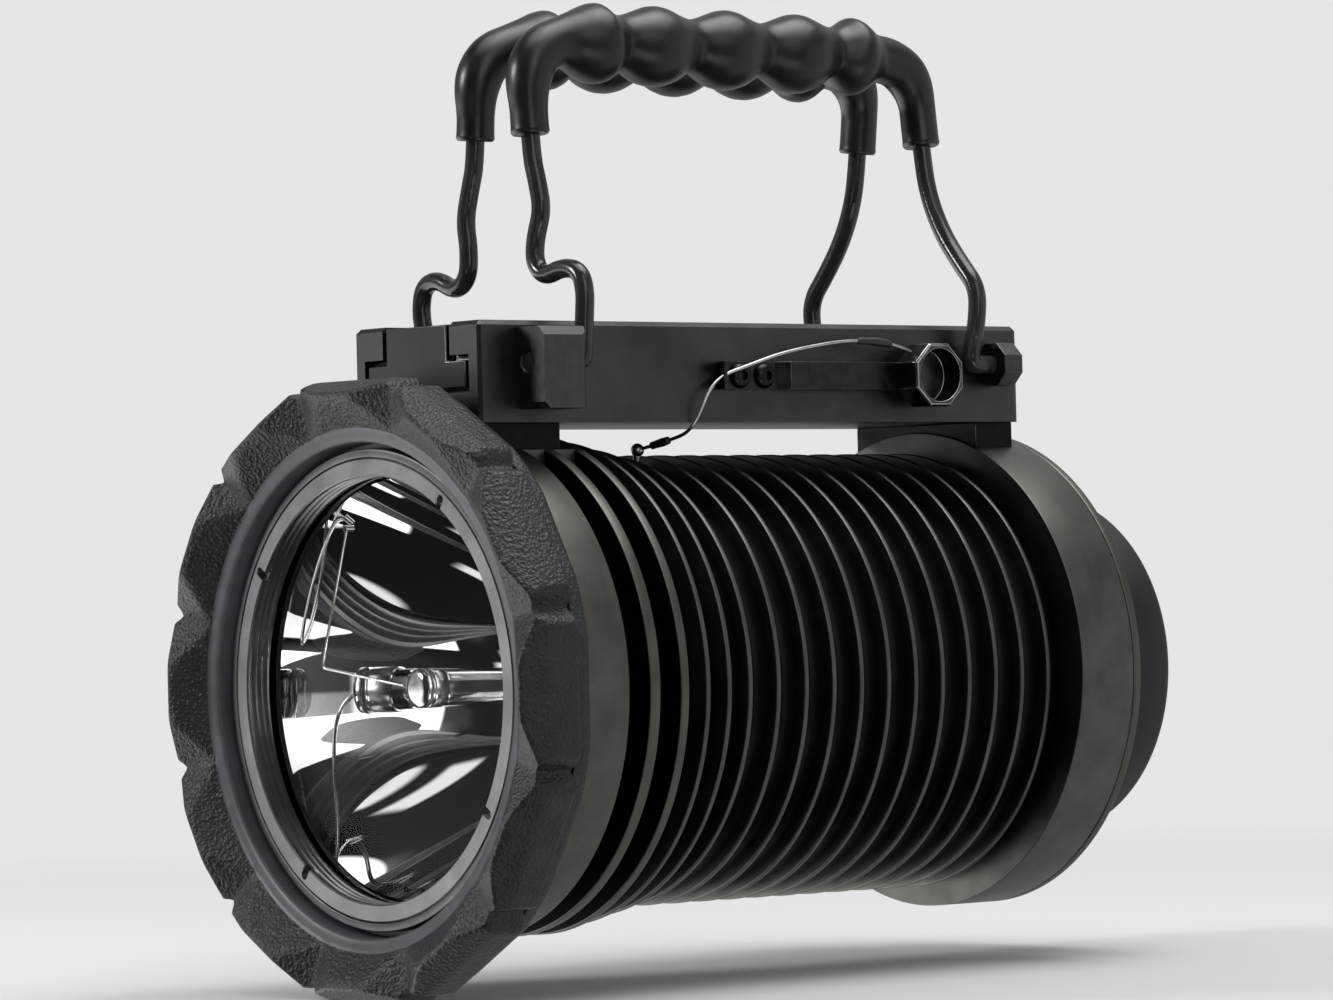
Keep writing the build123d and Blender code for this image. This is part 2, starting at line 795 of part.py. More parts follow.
def rail_housing():
    """Long housing on top, with an inverted T slot from its front."""
    shell = box((-rail_half_w, rail_half_w), (rail_front, rail_rear), (rail_bottom, rail_top))
    uprights = shell.edges().filter_by(Axis.Z)
    rear_corners = uprights.filter_by(lambda edge: edge.center().Y > middle_y)
    shell = fillet(rear_corners, rail_rear_corner_r)
    front_corners = shell.edges().filter_by(Axis.Z).filter_by(lambda edge: edge.center().Y < middle_y)
    shell = chamfer(front_corners, rail_front_edge)
    shell = chamfer(shell.faces().sort_by(Axis.Z)[-1].edges(), rail_top_edge)
    shell -= outline_y(slot_outline(slot_neck_half_w, slot_half_w, 0, slot_floor, rail_top + overrun),
                       rail_front - overrun, rail_rear - slot_end_wall)
    for x, y in mount_screw_places():
        head_h = mount_screw_r * button_head_h_share
        shell -= upright(mount_screw_r + screw_gap, rail_bottom - overrun, slot_floor + overrun, x, y)
        shell -= upright(mount_screw_r * button_head_r_share + screw_gap, slot_floor - head_h,
                         slot_floor + overrun, x, y)
    for y in latch_screw_rows():
        shell -= across(latch_screw_r, rail_half_w - latch_screw_len, rail_half_w + overrun, y, strip_z)
    shell -= across(plunger_hole_r, slot_half_w, rail_half_w + overrun, knob_y,
                    strip_z)
    return shell


def rail_insert():
    """Slide-in piece that fills the T slot, stepped in round its front face."""
    neck = slot_neck_half_w - insert_gap
    wide = slot_half_w - insert_gap
    front = rail_front + insert_reveal_len
    top = rail_top - rail_top_edge / 2
    piece = outline_y(slot_outline(neck, wide, insert_gap, slot_floor, top), front,
                      rail_rear - slot_end_wall - insert_gap)
    nose = slot_outline(slot_neck_half_w - insert_reveal, slot_half_w - insert_reveal, insert_reveal,
                        slot_floor + insert_reveal, top)
    return piece + outline_y(nose, rail_front, front)


def mount_screws():
    """Screws through the rail housing's floor and the mounts into the body."""
    screws = []
    for x, y in mount_screw_places():
        head_seat = slot_floor - mount_screw_r * button_head_h_share
        length = head_seat - body_pad_floor(x)
        screws.append(Pos(x, y, head_seat) * button_screw(mount_screw_r, length))
    return together(screws)


def lamp_carrier():
    """Round plate that closes the optics off and carries the lamp holder."""
    plate = tube(body_bore_r - press_gap, carrier_hole_r, web_rear, carrier_rear)
    return plate - rod_holes(web_rear + carrier_t / 2, carrier_rear + overrun, 0)


def rod_places():
    """Place of each rod of the electronics stack, as (x, z)."""
    return [(x, z) for x in (-rod_x, rod_x) for z in (-rod_z, rod_z)]


def rod_holes(start, end, gap):
    """Bores for the four rods."""
    holes = [bar(rod_r + gap, start, end, x, z) for x, z in rod_places()]
    return holes[0] + holes[1:]


def module(start, length):
    """Potted block between two end plates that slide over the rods."""
    plate_half_w = rod_x + module_plate_margin
    plate_half_h = rod_z + module_plate_margin
    block = box((-module_half_w, module_half_w), (start, start + length), (-module_half_h, module_half_h))
    for plate_start in (start, start + length - module_plate_t):
        block += box((-plate_half_w, plate_half_w), (plate_start, plate_start + module_plate_t),
                     (-plate_half_h, plate_half_h))
    return block - rod_holes(start - overrun, start + length + overrun, press_gap)


def stack_rods():
    """Four rods from the lamp carrier to the rear cap."""
    return together([bar(rod_r, web_rear + carrier_t / 2, cap_pocket_y, x, z) for x, z in rod_places()])


def rear_cap():
    """Plug and flange that close the body's rear, hollow from the front."""
    flange_front = rear_band_end + seam_gap
    plug_r = cap_bore_r - slide_gap
    groove_r = cap_bore_r - o_ring_depth
    groove_start = flange_front - cap_plug_len + o_ring_land
    cap = turned([
        (0, cap_pocket_y), (plug_r - cap_pocket_wall, cap_pocket_y),
        (plug_r - cap_pocket_wall, flange_front - cap_plug_len), (plug_r, flange_front - cap_plug_len),
        (plug_r, groove_start), (groove_r, groove_start), (groove_r, groove_start + o_ring_w),
        (plug_r, groove_start + o_ring_w), (plug_r, flange_front), (band_r - band_edge, flange_front),
        (band_r, flange_front + band_edge), (band_r, cap_rear - band_edge),
        (band_r - band_edge, cap_rear), (0, cap_rear),
    ])
    for angle in spread(cap_screw_count, cap_screw_angle):
        x, z = at_angle(angle, cap_screw_circle_r)
        cap -= bar(cap_screw_r + screw_gap, flange_front - overrun, cap_rear + overrun, x, z)
    for x, z in panel_screw_places():
        cap -= bar(panel_screw_r, panel_rear - panel_screw_len, cap_rear + overrun, x, z)
    return cap


def rear_seal():
    """O-ring in the cap's groove."""
    groove_start = rear_band_end + seam_gap - cap_plug_len + o_ring_land
    return tube(cap_bore_r, cap_bore_r - o_ring_depth, groove_start, groove_start + o_ring_w)


def rear_facing(screw, y, x, z):
    """Turn a screw so that its head faces the rear and seat it."""
    return Pos(x, y, z) * Rot(-90, 0, 0) * screw


def cap_screws():
    """Screws round the rear cap's flange."""
    screw = button_screw(cap_screw_r, cap_screw_len)
    places = [at_angle(angle, cap_screw_circle_r) for angle in spread(cap_screw_count, cap_screw_angle)]
    return together([rear_facing(screw, cap_rear, x, z) for x, z in places])


def rear_bumper():
    """Rubber ring that shields the controls at the rear."""
    waist_y = cap_rear + bumper_waist_len
    shoulder_y = cap_rear + bumper_shoulder_len
    rim_middle_r = (bumper_rim_r + bumper_lip_r) / 2
    lip_y = bumper_rear - bumper_lip_len
    return turned_edges(
        Line((bumper_bore_r, cap_rear), (bumper_waist_r, cap_rear)),
        Line((bumper_waist_r, cap_rear), (bumper_waist_r, waist_y)),
        Line((bumper_waist_r, waist_y), (bumper_rim_r, shoulder_y)),
        Line((bumper_rim_r, shoulder_y), (bumper_rim_r, lip_y)),
        ThreePointArc((bumper_rim_r, lip_y), (rim_middle_r, bumper_rear), (bumper_lip_r, lip_y)),
        Line((bumper_lip_r, lip_y), (bumper_bore_r, shoulder_y)),
        Line((bumper_bore_r, shoulder_y), (bumper_bore_r, cap_rear)),
    )


def panel_screw_places():
    """Place of each control panel screw, as (x, z)."""
    return [at_angle(angle, panel_screw_circle_r)
            for angle in spread(panel_screw_count, 180 / panel_screw_count)]


def control_panel():
    """Round plate inside the bumper that carries the button and the socket."""
    panel = turned([(0, cap_rear), (bumper_bore_r - panel_edge_gap, cap_rear),
                    (bumper_bore_r - panel_edge_gap, panel_rear), (0, panel_rear)])
    panel -= bar(button_stem_r + slide_gap, cap_rear - overrun, panel_rear + overrun, button_x, button_z)
    for x, z in panel_screw_places():
        panel -= bar(panel_screw_r + screw_gap, cap_rear - overrun, panel_rear + overrun, x, z)
    return panel


def panel_screws():
    """Screws that hold the control panel on the rear cap."""
    screw = button_screw(panel_screw_r, panel_screw_len)
    return together([rear_facing(screw, panel_rear, x, z) for x, z in panel_screw_places()])


def button_collar():
    """Raised ring round the power button."""
    inner = button_r + collar_gap
    ring = bar(inner + collar_wall, panel_rear, panel_rear + collar_len, button_x, button_z)
    ring = chamfer(ring.edges().sort_by(Axis.Y)[-1], button_edge)
    return ring - bar(inner, panel_rear - overrun, panel_rear + collar_len + overrun, button_x, button_z)


def power_button():
    """Press button with a stem through the panel."""
    floor = panel_rear + button_travel + slide_gap
    cap = bar(button_r, floor, panel_rear + button_rise, button_x, button_z)
    cap = fillet(cap.edges().sort_by(Axis.Y)[-1], button_edge)
    return cap + bar(button_stem_r, cap_rear + button_travel + slide_gap, floor, button_x, button_z)


def power_socket():
    """Flanged shell of the power connector."""
    half = socket_r + socket_flange_margin
    flange = box((socket_x - half, socket_x + half), (panel_rear, panel_rear + socket_flange_t),
                 (socket_z - half, socket_z + half))
    flange = fillet(flange.edges().filter_by(Axis.Y), socket_flange_t)
    shell = flange + bar(socket_r, panel_rear, panel_rear + socket_len, socket_x, socket_z)
    return shell - bar(socket_r - socket_wall, panel_rear - overrun, panel_rear + socket_len + overrun,
                       socket_x, socket_z)


def socket_pin_places():
    """Place of each contact pin, as (x, z)."""
    offsets = [at_angle(angle, socket_pin_circle_r) for angle in spread(socket_pin_count)]
    return [(socket_x + x, socket_z + z) for x, z in offsets]


def socket_insert():
    """Insulating plug in the bottom of the connector shell."""
    plug = bar(socket_r - socket_wall, panel_rear, panel_rear + socket_insert_len, socket_x, socket_z)
    for x, z in socket_pin_places():
        plug -= bar(socket_pin_r, panel_rear + socket_insert_len / 2, panel_rear + socket_len, x, z)
    return plug


def socket_pins():
    """Contact pins of the power connector."""
    start = panel_rear + socket_insert_len / 2
    end = panel_rear + socket_pin_len
    return together([bar(socket_pin_r, start, end, x, z) for x, z in socket_pin_places()])


def bezel_outline(apothem, y):
    """Twelve-sided face square to the beam axis, with flats at the lobes' middles."""
    flats = Rot(0, 0, 180 / bezel_lobes) * RegularPolygon(apothem, bezel_lobes, major_radius=False)
    return Plane((0, y, 0), x_dir=(1, 0, 0), z_dir=(0, -1, 0)) * flats


def bezel_prism(inset, notch_r, start, end):
    """Twelve-sided band with a round notch across each corner."""
    prism = extrude(bezel_outline(bezel_flat_r - inset, start), end - start, dir=(0, 1, 0))
    notch_z = bezel_notch_floor_r - inset + notch_r
    notch = bar(notch_r, start, end, 0, notch_z)
    notch += box((-notch_r, notch_r), (start, end), (notch_z, notch_z + notch_r))
    prism -= [around(angle) * notch for angle in spread(bezel_lobes, 180 / bezel_lobes)]
    corners = prism.edges().filter_by(Axis.Y).filter_by(
        lambda edge: sqrt(edge.center().X ** 2 + edge.center().Z ** 2) > bezel_flat_r - inset)
    return fillet(corners, bezel_corner_r)


def bezel_valley(angle):
    """Wedge between two lobes, its keel from lip to notch, its sides through the ridges' ends."""
    half_turn = radians(180 / bezel_lobes)
    ridge_r = bezel_ridge_out_r - bezel_ridge_w / 2
    ridge_along = ridge_r * cos(half_turn) + bezel_ridge_half_len * sin(half_turn)
    ridge_aside = ridge_r * sin(half_turn) - bezel_ridge_half_len * cos(half_turn)
    lip_end = Vector(0, -bezel_lip_end_front, bezel_lip_end_r)
    notch_top = Vector(0, -bezel_notch_front, bezel_notch_floor_r)
    run = notch_top - lip_end
    keel_y = lip_end.Y + run.Y * (ridge_along - lip_end.Z) / run.Z
    height = bezel_ridge_front
    half_w = height * ridge_aside / (bezel_ridge_front + keel_y)
    keel = Plane(lip_end, x_dir=(1, 0, 0), z_dir=run)
    wedge = make_face(Polyline((0, 0), (half_w, -height), (-half_w, -height), close=True))
    return around(angle) * extrude(keel * wedge, 2 * bezel_wall, both=True)


def bezel_bumper():
    """Lobed rubber ring round the front, each lobe a hipped block with its ridge to the front."""
    far = bezel_flat_r + bezel_wall
    blank = turned([
        (bezel_lip_r, -bezel_lip_front), (bezel_lip_end_r, -bezel_lip_end_front),
        (bezel_ridge_out_r - bezel_ridge_w, -bezel_ridge_front), (far, -bezel_ridge_front),
        (far, bezel_seat_end), (cell_seat_r, bezel_seat_end), (cell_seat_r, cell_seat_start),
        (bezel_lip_r, cell_seat_start),
    ])
    slopes = loft([bezel_outline(bezel_flat_r, -bezel_shoulder_front),
                   bezel_outline(bezel_ridge_out_r, -bezel_ridge_front)], ruled=True)
    front = bezel_prism(0, bezel_notch_r, -bezel_ridge_front, -bezel_shoulder_front) & slopes
    band = bezel_prism(0, bezel_notch_r, -bezel_shoulder_front, bezel_band_rear)
    skirt = bezel_prism(bezel_skirt_inset, bezel_notch_r * bezel_skirt_notch_share, bezel_band_rear,
                        bezel_seat_end)
    bezel = blank & (front + band + skirt)
    for angle in spread(bezel_lobes, 180 / bezel_lobes):
        bezel -= bezel_valley(angle)
    return bezel


def front_pivot():
    """Block on the rail housing's side that the handle's front end turns in."""
    out = rail_half_w + block_out
    bottom = rail_bottom + block_rise
    block = box((rail_half_w, out), (front_block_start, front_block_end), (bottom, bottom + block_h))
    top_outer = block.edges().filter_by(Axis.Y).sort_by(lambda edge: edge.center().X + edge.center().Z)
    block = chamfer(top_outer[-1], block_top_edge)
    low_front = block.edges().filter_by(Axis.X).sort_by(lambda edge: edge.center().Y + edge.center().Z)
    block = chamfer(low_front[0], block_bottom_edge)
    outer_rear = block.edges().filter_by(Axis.Z).sort_by(lambda edge: edge.center().X + edge.center().Y)
    block = fillet(outer_rear[-1], block_rear_corner_r)
    bore_r = wire_r + pivot_gap
    block -= bar(bore_r, front_block_start - overrun, front_block_end + overrun, pivot_x, pivot_z)
    mouth = Plane((pivot_x, front_block_start, pivot_z), x_dir=(1, 0, 0), z_dir=(0, 1, 0))
    block -= mouth * Pos(0, 0, block_mouth_edge / 2) * Cone(bore_r + block_mouth_edge, bore_r,
                                                           block_mouth_edge)
    return block


def rear_pivot():
    """Eight-sided boss beside the rail housing that the handle's rear end turns in."""
    plane = Plane((pivot_x, rear_boss_start, pivot_z), x_dir=(1, 0, 0), z_dir=(0, 1, 0))
    outline = Rot(0, 0, 180 / octagon_sides) * RegularPolygon(rear_boss_flats / 2, octagon_sides,
                                                              major_radius=False)
    boss = extrude(plane * outline, rear_boss_len)
    boss = chamfer(boss.faces().sort_by(Axis.Y)[-1].edges(), rear_boss_edge)
    boss -= box((0, rail_half_w), (rear_boss_start - overrun, rear_boss_end + overrun),
                (rail_bottom, rail_top))
    return boss - bar(wire_r + pivot_gap, rear_boss_start - overrun, rear_boss_end + overrun,
                      pivot_x, pivot_z)


def leg_point(share, leg_y):
    """Corner of a leg at its shares of the way out to the pivot and up to the grip."""
    out_share, up_share = share
    x = grip_x + (pivot_x - grip_x) * out_share
    return x, leg_y, pivot_z + grip_rise * up_share


def wire_route():
    """Corners and bend radii of one handle's wire, from its front end to its rear end."""
    points = [(pivot_x, wire_front_end, pivot_z), (pivot_x, front_leg_y, pivot_z)]
    points += [leg_point(share, front_leg_y) for share in reversed(front_leg_shares)]
    points += [(grip_x, front_leg_y, grip_z), (grip_x, rear_leg_y, grip_z)]
    points += [leg_point(share, rear_leg_y) for share in rear_leg_shares]
    radii = [wire_turn_r, *reversed(front_leg_radii), elbow_r, elbow_r, *rear_leg_radii]
    points += [(pivot_x, rear_leg_y, pivot_z), (pivot_x, wire_rear_end, pivot_z)]
    radii.append(wire_turn_r)
    return points, radii


def along(points, radii, radius):
    """Round bar along straight runs joined by arcs."""
    path = FilletPolyline(*points, radius=radii)
    section = Plane(origin=path @ 0, z_dir=path % 0) * Circle(radius)
    return sweep(section, path=path)


def handle_wire():
    """Bent wire of one handle."""
    points, radii = wire_route()
    return along(points, radii, wire_r)


def grip_elbow(leg_y, inward, leg_share):
    """Tube over one bend of the wire, down to a collar on the leg."""
    corner = Vector(grip_x, leg_y, grip_z)
    down = (Vector(*leg_point(leg_share, leg_y)) - corner).normalized()
    start = corner + Vector(0, inward * (elbow_r + overrun), 0)
    end = corner + down * (elbow_r + grip_leg_len)
    tube_part = along([start, corner, end], [elbow_r], grip_tube_r)
    collar = Plane(origin=end, z_dir=down) * Pos(0, 0, grip_collar_len / 2) * Cylinder(
        grip_collar_r, grip_collar_len)
    return tube_part + collar


def grip():
    """Moulded finger grip over the top of one handle, with a tube over each bend."""
    middle = (front_leg_y + rear_leg_y) / 2
    crease = grip_full_lobes * grip_lobe_pitch / 2
    half_len = (rear_leg_y - front_leg_y) / 2 - elbow_r
    edges = []
    for index in range(grip_full_lobes):
        start = -crease + index * grip_lobe_pitch
        edges.append(ThreePointArc((grip_neck_r, start), (grip_crest_r, start + grip_lobe_pitch / 2),
                                   (grip_neck_r, start + grip_lobe_pitch)))
    end_crest = crease + grip_end_lobe_half
    for side in (-1, 1):
        crest = (grip_crest_r * grip_end_crest_share, side * end_crest)
        edges.append(TangentArc(crest, (grip_neck_r, side * crease), tangent=(0, -side)))
        edges.append(TangentArc(crest, (grip_tube_r, side * half_len), tangent=(0, side)))
        edges.append(Line((grip_tube_r, side * half_len), (0, side * half_len)))
    edges.append(Line((0, -half_len), (0, half_len)))
    body = Pos(grip_x, middle, grip_z) * revolve(make_face(edges), Axis.Y)
    body += grip_elbow(front_leg_y, 1, front_leg_shares[0])
    body += grip_elbow(rear_leg_y, -1, rear_leg_shares[0])
    return body - handle_wire()


def latch_screw_rows():
    """Place of each latch screw along the rail housing."""
    first = strip_start + latch_screw_first
    return [first + index * latch_screw_pitch for index in range(latch_screw_count)]


def latch_base():
    """Fixed end of the latch's leaf, with an outturned lip for the cable."""
    bottom = strip_z - strip_half_h
    top = strip_z + strip_half_h
    lip_y = strip_start - lip_out * sin(radians(lip_slant_angle))
    strip = outline_z([
        (rail_half_w, strip_start), (rail_half_w + lip_out, lip_y),
        (rail_half_w + lip_out, lip_y + strip_t), (strip_out, strip_start + strip_t),
        (strip_out, arm_start), (rail_half_w, arm_start),
    ], bottom, top)
    for y in latch_screw_rows():
        strip -= across(latch_screw_r + screw_gap, rail_half_w - overrun, strip_out + overrun, y, strip_z)
    along_cable = Vector(*body_side_route[0]) - Vector(*knob_side_route[-1])
    drill = Plane(origin=lip_hole_place, z_dir=along_cable) * Cylinder(lip_hole_r, 2 * lip_out)
    return strip - drill


def latch_arm():
    """Sprung end of the latch's leaf, stepped out to the knob."""
    bottom = strip_z - strip_half_h
    top = strip_z + strip_half_h
    arm_outer = arm_in + strip_t
    joggle_end = arm_start + joggle_len
    arm = outline_z([
        (rail_half_w + press_gap, arm_start), (strip_out, arm_start), (arm_outer, joggle_end),
        (arm_outer, knob_y), (arm_in, knob_y), (arm_in, joggle_end + strip_t),
    ], bottom, top)
    return arm


def knob_plane(x):
    """Plane across x at the knob's middle."""
    return Plane((x, knob_y, strip_z), x_dir=(0, 1, 0), z_dir=(1, 0, 0))


def latch_knob():
    """Eight-sided pull cup on the end of the leaf, with its round bore facing out."""
    outline = Rot(0, 0, 180 / octagon_sides) * RegularPolygon(knob_flats / 2, octagon_sides,
                                                              major_radius=False)
    knob = extrude(knob_plane(knob_in) * outline, knob_depth)
    knob = chamfer(knob.faces().sort_by(Axis.X)[-1].edges(), knob_edge)
    bore = knob_plane(knob_out - knob_bore_depth) * Circle(knob_bore_r)
    return knob - extrude(bore, knob_bore_depth + overrun)


def latch_plunger():
    """Pin on the inside of the leaf that locks into the rail housing's wall."""
    pin = across(plunger_r, plunger_in, arm_in, knob_y, strip_z)
    return chamfer(pin.edges().sort_by(Axis.X)[0], knob_edge)


def latch_screws():
    """Button-head screws that hold the leaf."""
    screw = button_screw(latch_screw_r, latch_screw_len + strip_t)
    return together([Pos(strip_out, y, strip_z) * Rot(0, 90, 0) * screw for y in latch_screw_rows()])


def cable_radii():
    """Bend radius at each inner point of the lanyard's route, short at the ends of a sleeve."""
    points = [Vector(*point) for point in cable_route]
    last = len(points) - 2
    radii = []
    for index in range(1, last + 1):
        before, here, after = points[index - 1:index + 2]
        reach = bend_share * min((here - before).length, (after - here).length)
        if index in (1, 2, last):
            reach = min(reach, sleeve_bend_reach)
        turn = (here - before).get_angle(after - here)
        radii.append(reach / tan(radians(turn) / 2))
    return radii


def lanyard_cable():
    """Thin steel cable from the knob, through the lip, down to the body."""
    return along(cable_route, cable_radii(), cable_r)


def sleeve_on_run(start, end, start_gap, end_gap):
    """Crimp sleeve round one straight run of the cable, clear of the run's ends."""
    run = Vector(*end) - Vector(*start)
    seat = Vector(*start) + run.normalized() * start_gap
    ring = Circle(sleeve_r) - Circle(cable_r)
    return extrude(Plane(origin=seat, z_dir=run) * ring, run.length - start_gap - end_gap)


def lanyard_sleeves():
    """Crimp sleeves near both ends of the cable."""
    bend_gap = sleeve_bend_reach + press_gap
    upper = sleeve_on_run(cable_route[1], cable_route[2], bend_gap, bend_gap)
    lower = sleeve_on_run(cable_route[-1], cable_route[-2], anchor_head_r + lower_sleeve_setback,
                          bend_gap)
    return together([upper, lower])


def lanyard_anchor():
    """Ball-headed post in a groove of the body that the cable ends at."""
    return anchor_post() + Pos(*anchor_centre()) * Sphere(anchor_head_r)


def ship(name, piece):
    """Move a piece into the light's own frame and write it."""
    placed = Pos(0, -middle_y, base_height) * piece
    export_step(placed, os.path.join("parts", name + ".step"))


def other_side(piece):
    """The same piece on the other side of the beam axis."""
    return mirror(piece, about=Plane.YZ)


def build():
    """Make every piece, by the name of its node, with left and right as for the person holding it."""
    left_wire = handle_wire()
    left_grip = grip()
    left_front = front_pivot()
    left_rear = rear_pivot()
    return {
        "retaining_ring": retaining_ring(),
        "lens_cell": lens_cell(),
        "lens_window": lens_window(),
        "lens_seal": lens_seal(),
        "reflector": reflector(),
        "lamp_envelope": lamp_envelope(),
        "lamp_electrodes": lamp_electrodes(),
        "lamp_ferrule": lamp_ferrule(),
        "lamp_base": lamp_base(),
        "lamp_holder": lamp_holder(),
        "lamp_carrier": lamp_carrier(),
        "front_lead": front_lead(),
        "lead_post": lead_post(),
        "igniter_module": module(carrier_rear, igniter_len),
        "ballast_module": module(ballast_start, ballast_len),
        "stack_rods": stack_rods(),
        "body_housing": body_housing(),
        "rear_cap": rear_cap(),
        "rear_seal": rear_seal(),
        "cap_screws": cap_screws(),
        "rear_bumper": rear_bumper(),
        "control_panel": control_panel(),
        "panel_screws": panel_screws(),
        "button_collar": button_collar(),
        "power_button": power_button(),
        "power_socket": power_socket(),
        "socket_insert": socket_insert(),
        "socket_pins": socket_pins(),
        "bezel_bumper": bezel_bumper(),
        "rail_housing": rail_housing(),
        "rail_insert": rail_insert(),
        "front_mount": mount(front_mount_start, front_mount_len),
        "rear_mount": mount(rear_mount_start, rear_mount_len),
        "mount_screws": mount_screws(),
        "left_front_pivot": left_front,
        "left_rear_pivot": left_rear,
        "left_handle_wire": left_wire,
        "left_handle_grip": left_grip,
        "right_front_pivot": other_side(left_front),
        "right_rear_pivot": other_side(left_rear),
        "right_handle_wire": other_side(left_wire),
        "right_handle_grip": other_side(left_grip),
        "latch_base": latch_base(),
        "latch_arm": latch_arm(),
        "latch_knob": latch_knob(),
        "latch_plunger": latch_plunger(),
        "latch_screws": latch_screws(),
        "lanyard_cable": lanyard_cable(),
        "lanyard_sleeves": lanyard_sleeves(),
        "lanyard_anchor": lanyard_anchor(),
    }


for node, solid in build().items():
    ship(node, solid)
print("lanyard bend radii", [round(radius, 1) for radius in cable_radii()])
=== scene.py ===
# %% [markdown]
# # A hand-held searchlight, dressed for its picture
#
# The frame that this script loads is a searchlight worked out as a machine: a finned metal body, a
# rubber bumper with twelve lobes round the front, a housing on top and two folding wire handles.
# Everything in it already has its real size and place. This script gives it its looks: the grain of
# the rubber, the turned fins, the mirror with the lamp in it and the moulded grips.

# %% Load the frame
import math

import bmesh
import bpy
from mathutils import Matrix, Quaternion, Vector


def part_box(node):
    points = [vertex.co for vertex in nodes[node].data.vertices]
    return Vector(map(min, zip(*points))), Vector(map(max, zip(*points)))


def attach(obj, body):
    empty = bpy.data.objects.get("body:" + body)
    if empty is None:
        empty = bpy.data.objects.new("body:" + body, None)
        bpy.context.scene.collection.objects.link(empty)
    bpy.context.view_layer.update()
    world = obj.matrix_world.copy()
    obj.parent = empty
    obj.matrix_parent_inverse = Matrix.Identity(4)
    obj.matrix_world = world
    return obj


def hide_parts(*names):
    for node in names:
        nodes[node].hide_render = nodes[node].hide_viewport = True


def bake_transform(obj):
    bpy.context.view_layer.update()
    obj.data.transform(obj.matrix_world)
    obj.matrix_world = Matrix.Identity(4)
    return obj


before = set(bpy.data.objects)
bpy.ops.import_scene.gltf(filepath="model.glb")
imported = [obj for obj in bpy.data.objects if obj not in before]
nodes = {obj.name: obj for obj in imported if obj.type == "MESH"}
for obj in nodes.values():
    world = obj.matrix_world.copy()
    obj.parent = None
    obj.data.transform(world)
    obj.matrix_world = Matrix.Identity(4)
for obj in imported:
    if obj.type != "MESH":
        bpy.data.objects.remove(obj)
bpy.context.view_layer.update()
print("pieces in the frame:", len(nodes))

# %% [markdown]
# ## Working in the lamp's own millimetres
#
# The frame is in metres, with its origin on the table. A turned part is easier to think about from
# its own axis, so the sizes below are millimetres from the beam axis, with y counted from the face of
# the retaining ring. The ring's own box in the frame says where that is.

# %% Places in the lamp
MM = 0.001
ring_low, ring_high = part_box("retaining_ring")
AXIS_HEIGHT = (ring_low.z + ring_high.z) / 2
FACE_Y = ring_low.y
TO_ROW = Matrix.Translation((0, FACE_Y, AXIS_HEIGHT)) @ Matrix.Scale(MM, 4)


def lamp(x, y, z):
    """A place in lamp millimetres as a place in the frame."""
    return TO_ROW @ Vector((x, y, z))


print("beam axis height (mm):", round(AXIS_HEIGHT / MM, 2), "ring face y (mm):", round(FACE_Y / MM, 2))

# %% [markdown]
# ## The camera
#
# The photograph was taken with a long lens, about level with the beam axis and a little more than
# half way round from the front to the side. A long lens keeps the circles of the front nearly equal
# in size to those of the rear.

# %% Camera
CAMERA_AZIMUTH = 50.6
CAMERA_ELEVATION = -0.89
CAMERA_ROLL = -1.44
CAMERA_PLACE = (1504.16, -1107.88, 31.11)
CAMERA_LENS = 153.26
SENSOR_WIDTH = 36.0


def add_camera():
    """Camera at the photograph's view."""
    azimuth, elevation = math.radians(CAMERA_AZIMUTH), math.radians(CAMERA_ELEVATION)
    back = Vector((math.sin(azimuth) * math.cos(elevation),
                   -math.cos(azimuth) * math.cos(elevation), math.sin(elevation)))
    data = bpy.data.cameras.new("camera")
    data.lens = CAMERA_LENS
    data.sensor_width = SENSOR_WIDTH
    camera = bpy.data.objects.new("camera", data)
    bpy.context.scene.collection.objects.link(camera)
    camera.location = lamp(*CAMERA_PLACE)
    camera.rotation_mode = "QUATERNION"
    roll = Quaternion((0, 0, 1), math.radians(CAMERA_ROLL))
    camera.rotation_quaternion = (-back).to_track_quat("-Z", "Y") @ roll
    bpy.context.scene.camera = camera
    return camera


camera = add_camera()
print("camera at (m):", [round(value, 3) for value in camera.location])

# %% [markdown]
# ## Materials as small functions
#
# Every finish here starts from the same Principled shader. What differs is what is mixed into its
# colour, its roughness and its bump: noise for moulded grain, and noise stretched along or round the
# piece for brushing and turning marks. The patterns read Object coordinates, so they stay on the piece
# when it moves.

# %% Helpers for node materials
NOISE_ROUGHNESS = 0.55


def new_finish(name, color, roughness, metallic=0.0, **sockets):
    """A Principled material with its plain values set on the sockets."""
    material = bpy.data.materials.new(name)
    material.use_nodes = True
    shader = material.node_tree.nodes["Principled BSDF"]
    shader.inputs["Base Color"].default_value = (*color, 1)
    shader.inputs["Roughness"].default_value = roughness
    shader.inputs["Metallic"].default_value = metallic
    for socket, value in sockets.items():
        shader.inputs[socket.replace("_", " ")].default_value = value
    return material


def add_node(material, kind, links=(), **values):
    """A node with its inputs set by name, and links into its inputs from other nodes' outputs."""
    node = material.node_tree.nodes.new(kind)
    for key, value in values.items():
        if hasattr(node, key):
            setattr(node, key, value)
        else:
            node.inputs[key.replace("_", " ")].default_value = value
    for socket, output in dict(links).items():
        material.node_tree.links.new(output, node.inputs[socket])
    return node


def object_coordinates(material, stretch=(1, 1, 1)):
    """Object coordinates in metres, stretched for patterns that run one way."""
    place = add_node(material, "ShaderNodeTexCoord")
    mapping = add_node(material, "ShaderNodeMapping", {"Vector": place.outputs["Object"]},
                       Scale=stretch)
    return mapping.outputs["Vector"]


